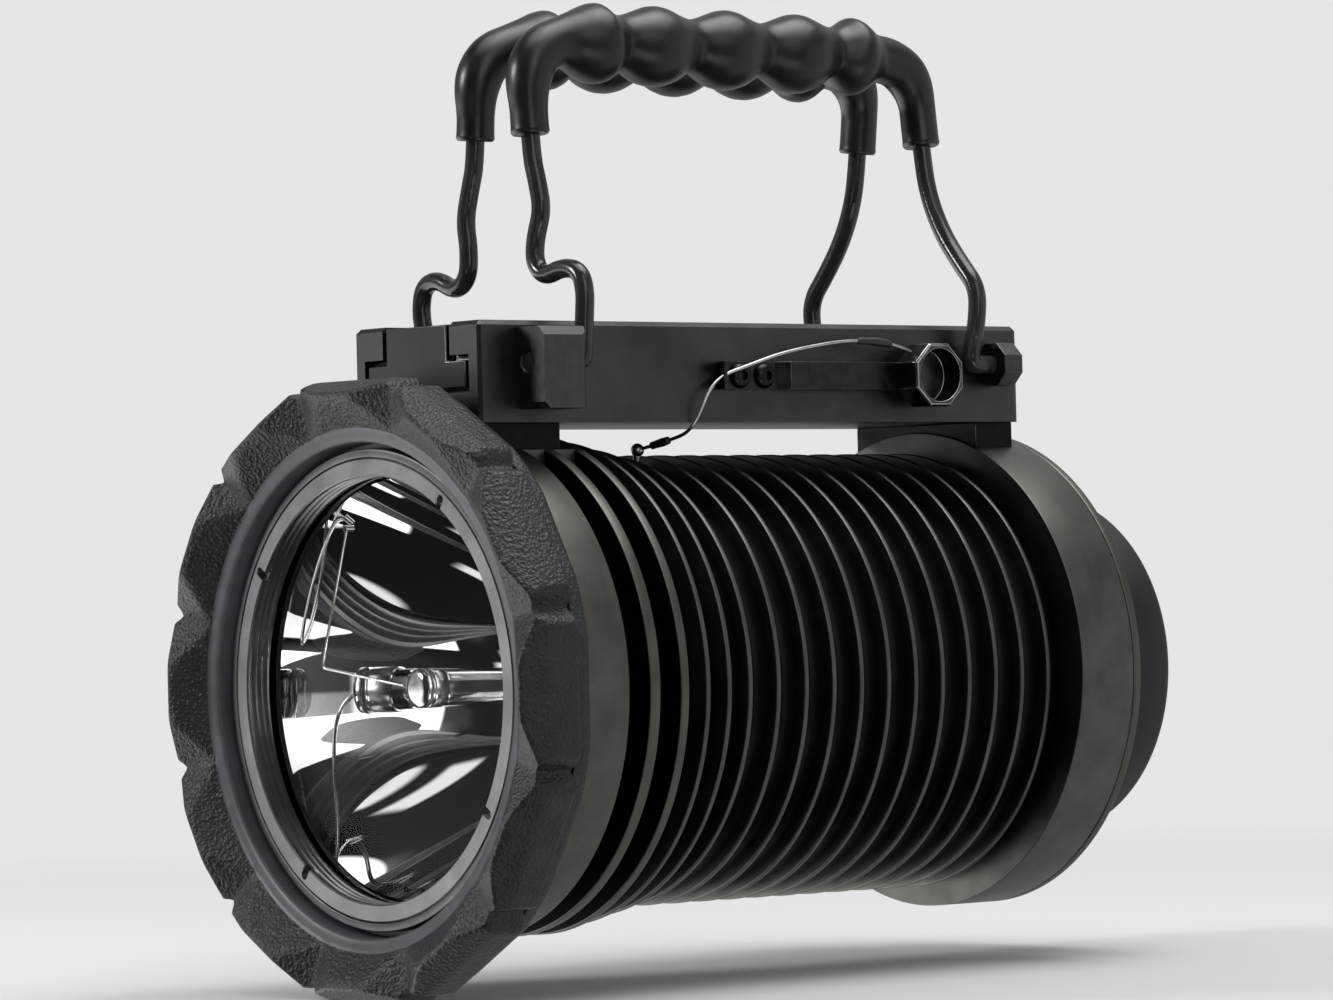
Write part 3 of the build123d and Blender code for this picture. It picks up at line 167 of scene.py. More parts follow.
def noise(material, size_mm, stretch=(1, 1, 1), detail=3.0):
    """Noise whose blobs are about that many millimetres wide."""
    vector = object_coordinates(material, stretch)
    node = add_node(material, "ShaderNodeTexNoise", {"Vector": vector}, Scale=1 / (size_mm * MM),
                    Detail=detail, Roughness=NOISE_ROUGHNESS)
    return node.outputs["Fac"]


def ramp(material, value, low, high, dark=0.0, light=1.0):
    """A value squeezed between two limits and spread between two others."""
    node = add_node(material, "ShaderNodeMapRange", {"Value": value}, From_Min=low, From_Max=high,
                    To_Min=dark, To_Max=light)
    return node.outputs["Result"]


def vary_color(material, value, dark, light):
    """Lead a value to the base colour as a mix of two colours."""
    mix = add_node(material, "ShaderNodeMix", data_type="RGBA")
    links = material.node_tree.links
    links.new(value, mix.inputs[0])
    mix.inputs[6].default_value = (*dark, 1)
    mix.inputs[7].default_value = (*light, 1)
    shader = material.node_tree.nodes["Principled BSDF"]
    links.new(mix.outputs[2], shader.inputs["Base Color"])


def vary_roughness(material, value, low, high):
    """Lead a value to the roughness."""
    shader = material.node_tree.nodes["Principled BSDF"]
    material.node_tree.links.new(ramp(material, value, 0.3, 0.7, low, high), shader.inputs["Roughness"])


def add_bump(material, value, height_mm):
    """Lead a value to the normal as relief of that height, on top of any bump that is there."""
    shader = material.node_tree.nodes["Principled BSDF"]
    normal = shader.inputs["Normal"]
    links = {"Height": value}
    if normal.is_linked:
        links["Normal"] = normal.links[0].from_socket
    bump = add_node(material, "ShaderNodeBump", links, Strength=1.0, Distance=height_mm * MM)
    material.node_tree.links.new(bump.outputs["Normal"], normal)


# %% Finishes of the metal parts
TURNING_MARK, TURNING_RELIEF = 0.35, 0.006
BRUSHING_MARK, BRUSHING_RELIEF = 0.4, 0.004
ALONG_HOUSING = (1, 0.03, 1)


def turned_metal(name, dark, light, roughness):
    """Anodised metal with fine turning marks round the beam axis."""
    material = new_finish(name, light, roughness, 1.0)
    marks = noise(material, TURNING_MARK, stretch=(0.02, 1, 0.02), detail=2)
    blotches = noise(material, 14, detail=4)
    vary_color(material, ramp(material, blotches, 0.35, 0.65), dark, light)
    vary_roughness(material, marks, roughness - 0.05, roughness + 0.07)
    add_bump(material, marks, TURNING_RELIEF)
    return material


def vector_math(material, operation, vector, second=None):
    """A vector maths node with a fixed second vector."""
    node = add_node(material, "ShaderNodeVectorMath", {0: vector}, operation=operation)
    if second:
        node.inputs[1].default_value = second
    return node


def paint_groove_depth_shade(material, low_r, high_r, share):
    """Darken a colour towards the beam axis, as painted shade deep in the fin grooves."""
    place = add_node(material, "ShaderNodeTexCoord")
    centred = vector_math(material, "SUBTRACT", place.outputs["Object"], (0, 0, AXIS_HEIGHT))
    across = vector_math(material, "MULTIPLY", centred.outputs["Vector"], (1, 0, 1))
    radius = vector_math(material, "LENGTH", across.outputs["Vector"])
    level = ramp(material, radius.outputs["Value"], low_r * MM, high_r * MM, share, 1.0)
    shader = material.node_tree.nodes["Principled BSDF"]
    shade = vector_math(material, "SCALE", shader.inputs["Base Color"].links[0].from_socket)
    material.node_tree.links.new(level, shade.inputs["Scale"])
    material.node_tree.links.new(shade.outputs["Vector"], shader.inputs["Base Color"])


def brushed_metal(name, dark, light, roughness, stretch):
    """Anodised metal brushed one way."""
    material = new_finish(name, light, roughness, 1.0)
    brushing = noise(material, BRUSHING_MARK, stretch=stretch, detail=3)
    blotches = noise(material, 22, detail=5)
    vary_color(material, ramp(material, blotches, 0.3, 0.7), dark, light)
    vary_roughness(material, brushing, roughness - 0.07, roughness + 0.08)
    add_bump(material, brushing, BRUSHING_RELIEF)
    return material


def plain_metal(name, dark, light, roughness):
    """Metal with a fine even grain and slight stains."""
    material = new_finish(name, light, roughness, 1.0)
    stains = noise(material, 5, detail=5)
    vary_color(material, ramp(material, stains, 0.3, 0.7), dark, light)
    vary_roughness(material, stains, roughness - 0.06, roughness + 0.08)
    add_bump(material, noise(material, 0.5), 0.003)
    return material


body_metal = turned_metal("body anodised", (0.105, 0.1, 0.09), (0.135, 0.13, 0.118), 0.42)
# The body's colour is painted darker towards the fin floors, as shade in the grooves.
paint_groove_depth_shade(body_metal, 67.9, 76.0, 0.05)
# Near-black material painted into the two front grooves as shade.
front_groove_shade = plain_metal("front groove painted shade", (0.004, 0.004, 0.004), (0.006, 0.006, 0.006), 0.6)
ring_metal = turned_metal("ring anodised", (0.2, 0.2, 0.205), (0.27, 0.27, 0.275), 0.38)
cell_metal = turned_metal("cell anodised", (0.1, 0.1, 0.105), (0.14, 0.14, 0.145), 0.4)
rail_metal = brushed_metal("rail anodised", (0.06, 0.06, 0.062), (0.085, 0.085, 0.088), 0.38, ALONG_HOUSING)
insert_metal = brushed_metal("insert anodised", (0.045, 0.045, 0.047), (0.06, 0.06, 0.063), 0.36,
                             ALONG_HOUSING)
block_metal = plain_metal("block anodised", (0.07, 0.07, 0.072), (0.1, 0.1, 0.103), 0.42)
saddle_metal = plain_metal("saddle anodised", (0.012, 0.012, 0.012), (0.02, 0.02, 0.02), 0.42)
leaf_metal = plain_metal("leaf blackened", (0.03, 0.03, 0.031), (0.05, 0.05, 0.051), 0.34)
knob_metal = plain_metal("knob anodised", (0.06, 0.06, 0.062), (0.09, 0.09, 0.09), 0.3)
# Lighter edge colour for the black blocks: partly worn coating, partly painted highlight along the edges.
edge_wear_and_highlight = plain_metal("worn edge and painted highlight", (0.07, 0.07, 0.072), (0.16, 0.16, 0.16), 0.32)
bare_edge = plain_metal("bare edge", (0.35, 0.35, 0.35), (0.55, 0.55, 0.54), 0.3)
screw_metal = plain_metal("screw blackened", (0.02, 0.02, 0.02), (0.04, 0.04, 0.04), 0.3)
bright_steel = plain_metal("bright steel", (0.42, 0.42, 0.42), (0.6, 0.6, 0.6), 0.28)
nickel = plain_metal("nickel plated", (0.6, 0.59, 0.57), (0.75, 0.74, 0.72), 0.16)
tungsten = plain_metal("ground tungsten", (0.25, 0.25, 0.25), (0.36, 0.36, 0.36), 0.35)
brass = plain_metal("pin brass", (0.6, 0.42, 0.16), (0.75, 0.55, 0.22), 0.25)
milled = plain_metal("milled aluminium", (0.5, 0.5, 0.5), (0.6, 0.6, 0.6), 0.4)
print("metal finishes made")


# %% Finishes of rubber, plastic and coatings
def grained_rubber(name, dark, light, roughness, grain_mm, relief_mm):
    """Moulded rubber with a leather-like grain."""
    material = new_finish(name, light, roughness, Specular_IOR_Level=0.5)
    vector = object_coordinates(material)
    cells = add_node(material, "ShaderNodeTexVoronoi", {"Vector": vector}, feature="SMOOTH_F1",
                     Scale=1 / (grain_mm * MM), Smoothness=0.7)
    fine = noise(material, grain_mm * 0.6, detail=2)
    relief = add_node(material, "ShaderNodeMath", {0: cells.outputs["Distance"], 1: fine},
                      operation="ADD")
    dust = noise(material, 9, detail=5)
    vary_color(material, ramp(material, dust, 0.3, 0.75), dark, light)
    add_bump(material, relief.outputs[0], relief_mm)
    return material


def moulded_plastic(name, dark, light, roughness, grain_mm=0.8, relief_mm=0.01):
    """Satin plastic with a slight orange peel."""
    material = new_finish(name, light, roughness, Specular_IOR_Level=0.5)
    dust = noise(material, 12, detail=5)
    vary_color(material, ramp(material, dust, 0.3, 0.7), dark, light)
    vary_roughness(material, dust, roughness - 0.05, roughness + 0.06)
    add_bump(material, noise(material, grain_mm, detail=2), relief_mm)
    return material


bezel_rubber = grained_rubber("bezel rubber", (0.005, 0.005, 0.006), (0.013, 0.014, 0.016), 0.42, 1.3, 0.42)
lip_rubber = moulded_plastic("lip rubber", (0.04, 0.044, 0.052), (0.07, 0.077, 0.09), 0.42, 0.6, 0.02)
rear_rubber = moulded_plastic("rear rubber", (0.005, 0.005, 0.0055), (0.009, 0.009, 0.01), 0.42, 0.5, 0.01)
grip_plastic = moulded_plastic("grip plastic", (0.004, 0.004, 0.0045), (0.008, 0.008, 0.009), 0.34)
wire_coat = moulded_plastic("wire coating", (0.016, 0.016, 0.017), (0.026, 0.026, 0.028), 0.17, 2.2, 0.06)
sleeve_plastic = moulded_plastic("shrunk sleeve", (0.012, 0.012, 0.012), (0.022, 0.022, 0.022), 0.4, 0.9,
                                 0.03)
black_plastic = moulded_plastic("black plastic", (0.015, 0.015, 0.015), (0.025, 0.025, 0.025), 0.45)
ceramic = moulded_plastic("unglazed ceramic", (0.55, 0.52, 0.46), (0.66, 0.63, 0.57), 0.7)
seal_rubber = moulded_plastic("seal rubber", (0.012, 0.012, 0.012), (0.02, 0.02, 0.02), 0.6)
button_rubber = moulded_plastic("button rubber", (0.2, 0.02, 0.015), (0.28, 0.03, 0.022), 0.45)

# %% Glass, quartz and mirror
window_glass = new_finish("coated window glass", (1, 1, 1), 0.0, IOR=1.1, Transmission_Weight=1.0)
lamp_quartz = new_finish("lamp quartz", (1, 1, 1), 0.02, IOR=1.46, Transmission_Weight=1.0)
mirror = new_finish("reflector mirror", (0.93, 0.94, 0.93), 0.004, 1.0)
print("materials:", len(bpy.data.materials))


# %% [markdown]
# ## Dressing the parts that keep their shape
#
# Many parts are already right as they come: screws, blocks, plates. They only need a finish.

# %% Finishes on the frame's own parts
def dress(material, *names):
    """Give CAD nodes a material in place of the one they came with."""
    for name in names:
        mesh = nodes[name].data
        mesh.materials.clear()
        mesh.materials.append(material)


dress(ring_metal, "retaining_ring")
dress(window_glass, "lens_window")
dress(seal_rubber, "lens_seal", "rear_seal")
dress(tungsten, "lamp_electrodes")
dress(nickel, "lamp_base", "front_lead", "lead_post")
dress(ceramic, "lamp_holder")
dress(milled, "lamp_carrier", "stack_rods")
dress(black_plastic, "igniter_module", "ballast_module", "socket_insert")
dress(block_metal, "control_panel")
dress(bright_steel, "latch_plunger", "lanyard_anchor", "button_collar")
dress(screw_metal, "cap_screws", "panel_screws", "mount_screws", "latch_screws")
dress(button_rubber, "power_button")
dress(nickel, "power_socket")
dress(brass, "socket_pins")


# %% [markdown]
# ## The lanyard, a thin steel cable
#
# A cable is one smooth line, so it is drawn as a NURBS spline whose control points are the corners of
# its route: from the pull knob along the housing, through the hole in the latch's lip and down to a
# ball in a groove of the body. The sleeves are drawn along points that are read back from the same
# spline.

# %% The cable's own line
CABLE_ROUTE = [(44.0, 202.2, 110.6), (44.2, 194.7, 113.4), (44.2, 176.4, 114.6), (43.8, 158.2, 112.4),
               (43.0, 142.6, 109.4), (41.4, 131.0, 105.6), (38.8, 122.0, 102.6), (38.1, 116.0, 97.6),
               (37.7, 112.6, 90.6), (34.2, 110.8, 84.0), (27.2, 109.6, 81.4), (13.8, 106.4, 78.6)]
CABLE_RADIUS = 0.6
SLEEVE_RADIUS = 1.5
LINE_RESOLUTION = 24


def new_curve(name, points, kind, radii=None):
    """A curve object with one open spline through points in metres."""
    data = bpy.data.curves.new(name, "CURVE")
    data.dimensions = "3D"
    data.resolution_u = LINE_RESOLUTION
    spline = data.splines.new(kind)
    spline.points.add(len(points) - 1)
    for index, place in enumerate(points):
        spline.points[index].co = (*place, 1)
        spline.points[index].radius = radii[index] if radii else 1
    if kind == "NURBS":
        spline.order_u = 3
        spline.use_endpoint_u = True
    return bpy.data.objects.new(name, data)


def line_of(name, route):
    """Points in metres along the NURBS line whose control points are a route in lamp millimetres."""
    curve = new_curve(name, [lamp(*corner) for corner in route], "NURBS")
    mesh = bpy.data.meshes.new_from_object(curve)
    points = [vertex.co.copy() for vertex in mesh.vertices]
    bpy.data.objects.remove(curve)
    return points


def length_of(points):
    """Length of a line of points."""
    return sum((two - one).length for one, two in zip(points, points[1:]))


def part_of(points, start, end):
    """The stretch of a line between two distances along it."""
    stretch, travelled = [], 0.0
    for one, two in zip(points, points[1:]):
        step = (two - one).length
        for distance in (start, end):
            if travelled <= distance < travelled + step:
                stretch.append(one.lerp(two, (distance - travelled) / step))
        travelled += step
        if start < travelled < end:
            stretch.append(two)
    return stretch


def tube_mesh(name, points, radii, sides):
    """Mesh of a round tube with closed ends along points in metres, with a radius in mm at each."""
    curve = new_curve(name, points, "POLY", radii)
    curve.data.bevel_depth = MM
    curve.data.bevel_resolution = sides
    curve.data.use_fill_caps = True
    mesh = bpy.data.meshes.new_from_object(curve)
    bpy.data.objects.remove(curve)
    return mesh


cable_line = line_of("cable line", CABLE_ROUTE)
cable_length = length_of(cable_line)
print("cable points:", len(cable_line), "length (m):", round(cable_length, 4))

# %% [markdown]
# ## Finishing a piece
#
# Every new piece goes the same way: its bmesh is moved from lamp millimetres into the frame, doubles
# are merged, normals made consistent, and edges sharper than an angle kept sharp. Then it gets its
# materials, is parented to an empty for the body it rides on, and the frame parts it stands for are
# hidden.

# %% Helpers that finish a piece
SHARP_ANGLE = 34.0
MERGE_MM = 0.002


def place_piece(mesh, name, materials, replaced=(), body="root", sharp=SHARP_ANGLE):
    """Make a mesh in the frame a finished piece."""
    mesh.shade_smooth()
    mesh.set_sharp_from_angle(angle=math.radians(sharp))
    for material in materials:
        mesh.materials.append(material)
    piece = bpy.data.objects.new(name, mesh)
    bpy.context.scene.collection.objects.link(piece)
    if body:
        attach(piece, body)
    if replaced:
        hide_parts(*replaced)
    return piece


def finish_bmesh(bm, name, materials, replaced=(), body="root", sharp=SHARP_ANGLE):
    """Turn a bmesh in lamp millimetres into a finished piece."""
    bmesh.ops.remove_doubles(bm, verts=bm.verts, dist=MERGE_MM)
    bmesh.ops.recalc_face_normals(bm, faces=bm.faces)
    bmesh.ops.transform(bm, matrix=TO_ROW, verts=bm.verts)
    mesh = bpy.data.meshes.new(name)
    bm.to_mesh(mesh)
    bm.free()
    print(name, "faces:", len(mesh.polygons))
    return place_piece(mesh, name, materials, replaced, body, sharp)


# %% The cable and its sleeves as pieces
cable_mesh = tube_mesh("lanyard", cable_line, [CABLE_RADIUS] * len(cable_line), 3)
cable = place_piece(cable_mesh, "lanyard", [bright_steel],
                    ("lanyard_cable", "lanyard_sleeves"), body=None)
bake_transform(cable)


def add_sleeve(name, start, end, swell):
    """Shrunk sleeve along a stretch of the cable, fuller over its crimp."""
    stretch = part_of(cable_line, start * MM, end * MM)
    whole, gone, radii = length_of(stretch), 0.0, []
    for index, place in enumerate(stretch):
        gone += (place - stretch[index - 1]).length if index else 0.0
        share = gone / whole
        ends = min(1.0, min(share, 1 - share) * 14)
        body_swell = swell * math.exp(-((share - 0.38) / 0.22) ** 2)
        radii.append(CABLE_RADIUS + (SLEEVE_RADIUS - swell - CABLE_RADIUS) * math.sqrt(ends) + body_swell)
    mesh = tube_mesh(name, stretch, radii, 5)
    return place_piece(mesh, name, [sleeve_plastic], body=None)


upper_sleeve = add_sleeve("lanyard_upper_sleeve", 9.2, 25.0, 0.25)
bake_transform(upper_sleeve)
lower_sleeve = add_sleeve("lanyard_lower_sleeve", cable_length / MM - 12.0, cable_length / MM - 3.2, 0.2)
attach(lower_sleeve, "root")

# %% [markdown]
# ## Turned parts
#
# Body, cap, mirror, lens cell and rear ring all have the form that a lathe gives, so each is an
# outline spun about the beam axis. The outline's corners are rounded before the spin, with a bevel on
# its vertices: the edges then catch light as real machined edges do.

# %% Spinning an outline
SPIN_STEPS = 160
SMALL_ROUNDING = 1.2
SMALL_SEGMENTS, LARGE_SEGMENTS = 3, 7


def spun(corners, steps=SPIN_STEPS):
    """Solid of an outline of (radius, y, rounding) corners spun about the beam axis."""
    bm = bmesh.new()
    verts = [bm.verts.new((radius, y, 0)) for radius, y, _ in corners]
    for one, two in zip(verts, verts[1:] + verts[:1]):
        bm.edges.new((one, two))
    for vert, (_, _, rounding) in zip(verts, corners):
        if rounding:
            segments = SMALL_SEGMENTS if rounding < SMALL_ROUNDING else LARGE_SEGMENTS
            bmesh.ops.bevel(bm, geom=[vert], offset=rounding, segments=segments, profile=0.5,
                            affect="VERTICES", material=-1)
    bmesh.ops.spin(bm, geom=bm.verts[:] + bm.edges[:], cent=(0, 0, 0), axis=(0, 1, 0), dvec=(0, 0, 0),
                   angle=math.tau, steps=steps, use_merge=True)
    return bm


def add_to(bm, other):
    """Put another bmesh into this one and free it."""
    mesh = bpy.data.meshes.new("added")
    other.to_mesh(mesh)
    other.free()
    bm.from_mesh(mesh)
    bpy.data.meshes.remove(mesh)


# %% [markdown]
# ## The finned body
#
# The body has a smooth band at each end. Behind the front band are two deep square grooves, then
# three fins that step down, then eleven equal fins with round-bottomed grooves. The two front
# grooves stop at a solid pad under the housing's front mount.

# %% Body housing
BAND_R = 84.0
CREST_R = 76.7
FLOOR_R = 67.7
EDGE = 0.45
CREST_EDGE = 0.55
FRONT_BAND = (14.5, 41.5)
FRONT_GROOVES = ((41.5, 50.1), (54.4, 63.0))
FRONT_FLOOR_R, FLOOR_EDGE = 74.0, 1.1
FRONT_END = 66.5
ROUND_ROOM = 0.01
FIN_LAND = 2.0
TAPER_PITCH, TAPER_FINS = 11.1, 3
FIN_PITCH, FINS = 12.2, 11
REAR_BAND = (242.1, 266.5)
PAD_HALF_W = 31.5
PAD_SINK, PAD_FRONT, PAD_REAR = 1.0, 41.0, 63.5


def body_corners():
    """Outline of the body, outside and in."""
    corners = [(77.8, FRONT_BAND[0], 0), (BAND_R, FRONT_BAND[0], EDGE)]
    for start, end in FRONT_GROOVES:
        corners += [(BAND_R, start, EDGE), (FRONT_FLOOR_R, start, FLOOR_EDGE),
                    (FRONT_FLOOR_R, end, FLOOR_EDGE), (BAND_R, end, EDGE)]
    corners.append((BAND_R, FRONT_END, CREST_EDGE))
    groove, radius = FRONT_END, BAND_R
    fins = [(FRONT_END + (n + 1) * TAPER_PITCH, BAND_R - (BAND_R - CREST_R) * (n + 1) / TAPER_FINS)
            for n in range(TAPER_FINS)]
    fins += [(fins[-1][0] + (n + 1) * FIN_PITCH, CREST_R) for n in range(FINS)]
    for rear_edge, radius in fins:
        front_edge = rear_edge - FIN_LAND
        half = (front_edge - groove) / 2 - ROUND_ROOM
        corners += [(FLOOR_R, groove, half), (FLOOR_R, front_edge, half), (radius, front_edge, CREST_EDGE),
                    (radius, rear_edge, CREST_EDGE)]
        groove = rear_edge
    half = (REAR_BAND[0] - groove) / 2 - ROUND_ROOM
    corners += [(FLOOR_R, groove, half), (FLOOR_R, REAR_BAND[0], half), (BAND_R, REAR_BAND[0], EDGE),
                (BAND_R, REAR_BAND[1], EDGE), (66, REAR_BAND[1], 0), (66, 236.5, 0), (62, 236.5, 0),
                (62, 36, 0), (70.4, 30, 0), (70.4, 22, 0), (77.8, 22, 0)]
    return corners


def body_pad():
    """Solid sector that fills the two front grooves under the front mount."""
    inner_r = FRONT_FLOOR_R - PAD_SINK
    pad = spun([(inner_r, PAD_FRONT, 0), (BAND_R, PAD_FRONT, 0), (BAND_R, PAD_REAR, 0),
                (inner_r, PAD_REAR, 0)])
    for place, normal in (((0, 0, 0), (0, 0, -1)), ((PAD_HALF_W, 0, 0), (1, 0, 0)),
                          ((-PAD_HALF_W, 0, 0), (-1, 0, 0))):
        bmesh.ops.bisect_plane(pad, geom=pad.verts[:] + pad.edges[:] + pad.faces[:], dist=MERGE_MM,
                               plane_co=place, plane_no=normal, clear_outer=True)
    bmesh.ops.holes_fill(pad, edges=[edge for edge in pad.edges if edge.is_boundary], sides=0)
    return pad


def paint_front_groove_shade(bm):
    """Second material, a near-black painted shade, for walls and floors of the two front grooves."""
    groove_r = BAND_R - 1.2 * EDGE
    for face in bm.faces:
        middle = face.calc_center_median()
        in_groove = any(start - MERGE_MM < middle.y < end + MERGE_MM for start, end in FRONT_GROOVES)
        face.material_index = 1 if in_groove and math.hypot(middle.x, middle.z) < groove_r else 0


body = spun(body_corners(), 192)
# Painted shade: the walls and floors of the two front grooves get the near-black material.
paint_front_groove_shade(body)
add_to(body, body_pad())
finish_bmesh(body, "body", [body_metal, front_groove_shade], ["body_housing"], sharp=60)

# %% [markdown]
# ## Rear cap, rear rubber ring and lens cell
#
# Three more turned parts. The rubber ring at the rear flares out from a waist to a full rounded rim,
# and is the softest form of the three, so it has the largest roundings.

# %% Cap, ring and cell
finish_bmesh(spun([(0, 264.2, 0), (56, 264.2, 0), (56, 256, 0), (65.8, 256, 0), (65.8, 266.7, 0),
                   (84, 266.7, 0.7), (84, 270.2, 0.7), (0, 270.2, 0)]),
             "rear_flange", [body_metal], ["rear_cap"])
finish_bmesh(spun([(50, 270.2, 0), (56.5, 270.2, 0.6), (56.5, 275.2, 4), (61, 293.2, 7), (61, 308.2, 4.0),
                   (52.5, 308.2, 3.9), (52.5, 303.5, 3), (50, 294.2, 3)]),
             "rear_guard", [rear_rubber], ["rear_bumper"])
finish_bmesh(spun([(76.6, 0, 0.35), (79.5, 0, 0.6), (79.5, 6, 0), (81.3, 6, 0), (81.3, 14.5, 0),
                   (77.7, 14.5, 0), (77.7, 22, 0), (70.5, 22, 0), (70.5, 15.5, 0), (75.3, 15.5, 0),
                   (75.3, 9, 0), (76.6, 9, 0)]),
             "cell", [cell_metal], ["lens_cell"])

# %% [markdown]
# ## The mirror
#
# The reflector is a paraboloid with a short focal length. Its outline is a sampled parabola with many
# spin steps, because a mirror shows every flat in its mesh as a broken reflection.

# %% Reflector
FOCAL_LENGTH = 15.0
VERTEX_Y = 94.51
MOUTH_R, NECK_R = 69.5, 12.5
MIRROR_ROWS = 60
MIRROR_STEPS = 240
BACK_ROWS = 12
MIRROR_WALL = 3.0


def parabola(start_r, end_r, back, rows):
    """Corners along the paraboloid between two radii, moved back by a wall."""
    radii = [start_r + (end_r - start_r) * n / rows for n in range(rows + 1)]
    return [(radius, VERTEX_Y + back - radius ** 2 / (4 * FOCAL_LENGTH), 0) for radius in radii]


mirror_outline = parabola(MOUTH_R, NECK_R, 0, MIRROR_ROWS)
mirror_outline += [(NECK_R, 97.9, 0), (14.1, 97.9, 0)] + parabola(14.1, 70.1, MIRROR_WALL, BACK_ROWS)
mirror_outline += [(74.8, 15.5, 0), (74.8, 14.0, 0)]
finish_bmesh(spun(mirror_outline, MIRROR_STEPS), "mirror", [mirror], ["reflector"])

# %% [markdown]
# ## The lamp
#
# A short-arc lamp is a thick quartz tube with a bulb round the arc. Clear quartz shows as bright
# rims and dark lines only where light bends through walls, so the tube is made hollow, with a
# chamber in its front stem.

# %% Quartz tube and its cap
LAMP_STEPS = 64
quartz_outline = [(2.3, 23.6, 0.4), (6.0, 23.5, 1.4), (6.0, 66.5, 2), (8.6, 71.5, 3), (9.5, 79.5, 6),
                  (8.6, 87.5, 3), (6.0, 92.5, 2), (6.0, 108, 0), (1.5, 108, 0), (1.5, 90.0, 1),
                  (7.1, 85.5, 3), (7.9, 79.5, 4), (7.1, 73.5, 3), (2.3, 68.5, 1), (2.3, 62, 1),
                  (4.5, 57, 3), (4.5, 29.5, 2), (2.3, 27.5, 0.6)]
finish_bmesh(spun(quartz_outline, LAMP_STEPS), "quartz", [lamp_quartz], ["lamp_envelope"])
finish_bmesh(spun([(0, 19.0, 0), (4.6, 19.0, 1.0), (6.6, 20.2, 0.6), (6.6, 22.0, 0.3), (6.1, 22.3, 0.2),
                   (6.1, 22.9, 0.2), (6.6, 23.2, 0.3), (6.6, 28.5, 0.3), (6.02, 28.5, 0),
                   (6.02, 23.5, 0), (0, 23.5, 0)], LAMP_STEPS),
             "lamp_cap", [nickel], ["lamp_ferrule"])

# %% [markdown]
# ## The rubber bumper
#
# Each of the twelve lobes is a hipped block, like a small roof: a slope up from the lip, a ridge, a
# slope down to the band, and two end slopes that meet the next lobe's in a valley. The front is the
# lowest of these slopes at each place. Where two of them cross, the smaller value gives way a little
# before the crossing, and that is what rounds moulded rubber's edges.

# %% Bumper
LOBES = 12
STEPS_PER_LOBE = 60
LIP_R, LIP_FRONT, LIP_REAR = 86.0, 5.0, 6.0
LIP_MARGIN = 0.2
RIDGE_FRONT = 14.0
INNER_SLOPE = 0.9
SHOULDER_R, OUTER_SLOPE = 97.8, 2.19
KEEL_SLOPE, KEEL_SOFT = 0.16, 1.5
END_SLOPE = 0.49
RIDGE_ROUNDING = 1.7
BAND_R_FLAT, BAND_INSET = 102.0, 0.3
NOTCH_DEEP, NOTCH_START, NOTCH_REACH = 6.2, -1.6, 6.6
SKIRT_R, SKIRT_REACH, SKIRT_ROOM = 99.1, 1.012, 0.6
FRONT_ROWS = 44
# rows of the outline: a radius and a y for the lip, an inset and a y for band and skirt
LIP_ROWS = [(81.3, 14.5), (81.3, 6.2), (81.5, -3.2), (81.75, -3.85), (82.3, -4.2), (83.6, -4.5),
            (84.8, -4.75)]
BAND_ROWS = [(0.0, -3.6), (0.0, -2.0), (0.0, 0.0), (0.0, 2.0), (0.0, 4.0), (0.0, 5.4), (0.15, 6.5),
             (0.7, 6.95), (1.6, 7.1)]
SKIRT_ROWS = [(0.0, 7.4), (0.05, 8.6), (0.1, 10.4), (0.25, 12.0), (0.9, 13.4), (2.2, 14.3), (4.0, 14.5)]


def smooth(low, high, value):
    """Smooth step from 0 at low to 1 at high."""
    share = min(1.0, max(0.0, (value - low) / (high - low)))
    return share * share * (3 - 2 * share)


def soft_least(values, rounding):
    """Least of some values, rounded where two of them are close."""
    least = values[0]
    for value in values[1:]:
        near = max(rounding - abs(least - value), 0) / rounding
        least = min(least, value) - near * near * rounding / 4
    return least


def lobe_front(radius, turn):
    """How far the bumper reaches forward at a radius and an angle from a lobe's middle."""
    from_valley = math.pi / LOBES - abs(turn)
    along = radius * math.cos(from_valley)
    aside = math.hypot(radius * math.sin(from_valley), KEEL_SOFT) - KEEL_SOFT / 2
    inner = LIP_FRONT + (radius - LIP_R) * INNER_SLOPE
    outer = RIDGE_FRONT - (radius * math.cos(turn) - SHOULDER_R) * OUTER_SLOPE
    end = LIP_FRONT + (along - LIP_R) * KEEL_SLOPE + aside * END_SLOPE
    return soft_least([inner, end, outer, RIDGE_FRONT + RIDGE_ROUNDING / 8], RIDGE_ROUNDING)


def band_radius(turn):
    """Radius of the band at an angle from a lobe's middle, with its soft notch."""
    from_notch = BAND_R_FLAT * (math.pi / LOBES - abs(turn))
    notch = NOTCH_DEEP * (1 - smooth(NOTCH_START, NOTCH_REACH, from_notch))
    return BAND_R_FLAT / math.cos(turn) - notch


def row_place(kind, value, y, turn):
    """Radius and y of a row of the outline at an angle from a lobe's middle."""
    edge = band_radius(turn)
    if kind == "front":
        radius = LIP_R + (edge - BAND_INSET - LIP_R) * value
        return radius, -lobe_front(radius, turn)
    if kind == "band":
        return edge - value, y
    if kind == "skirt":
        return min(SKIRT_R * min(SKIRT_REACH, 1 / math.cos(turn)), edge + SKIRT_ROOM) - value, y
    return value, y


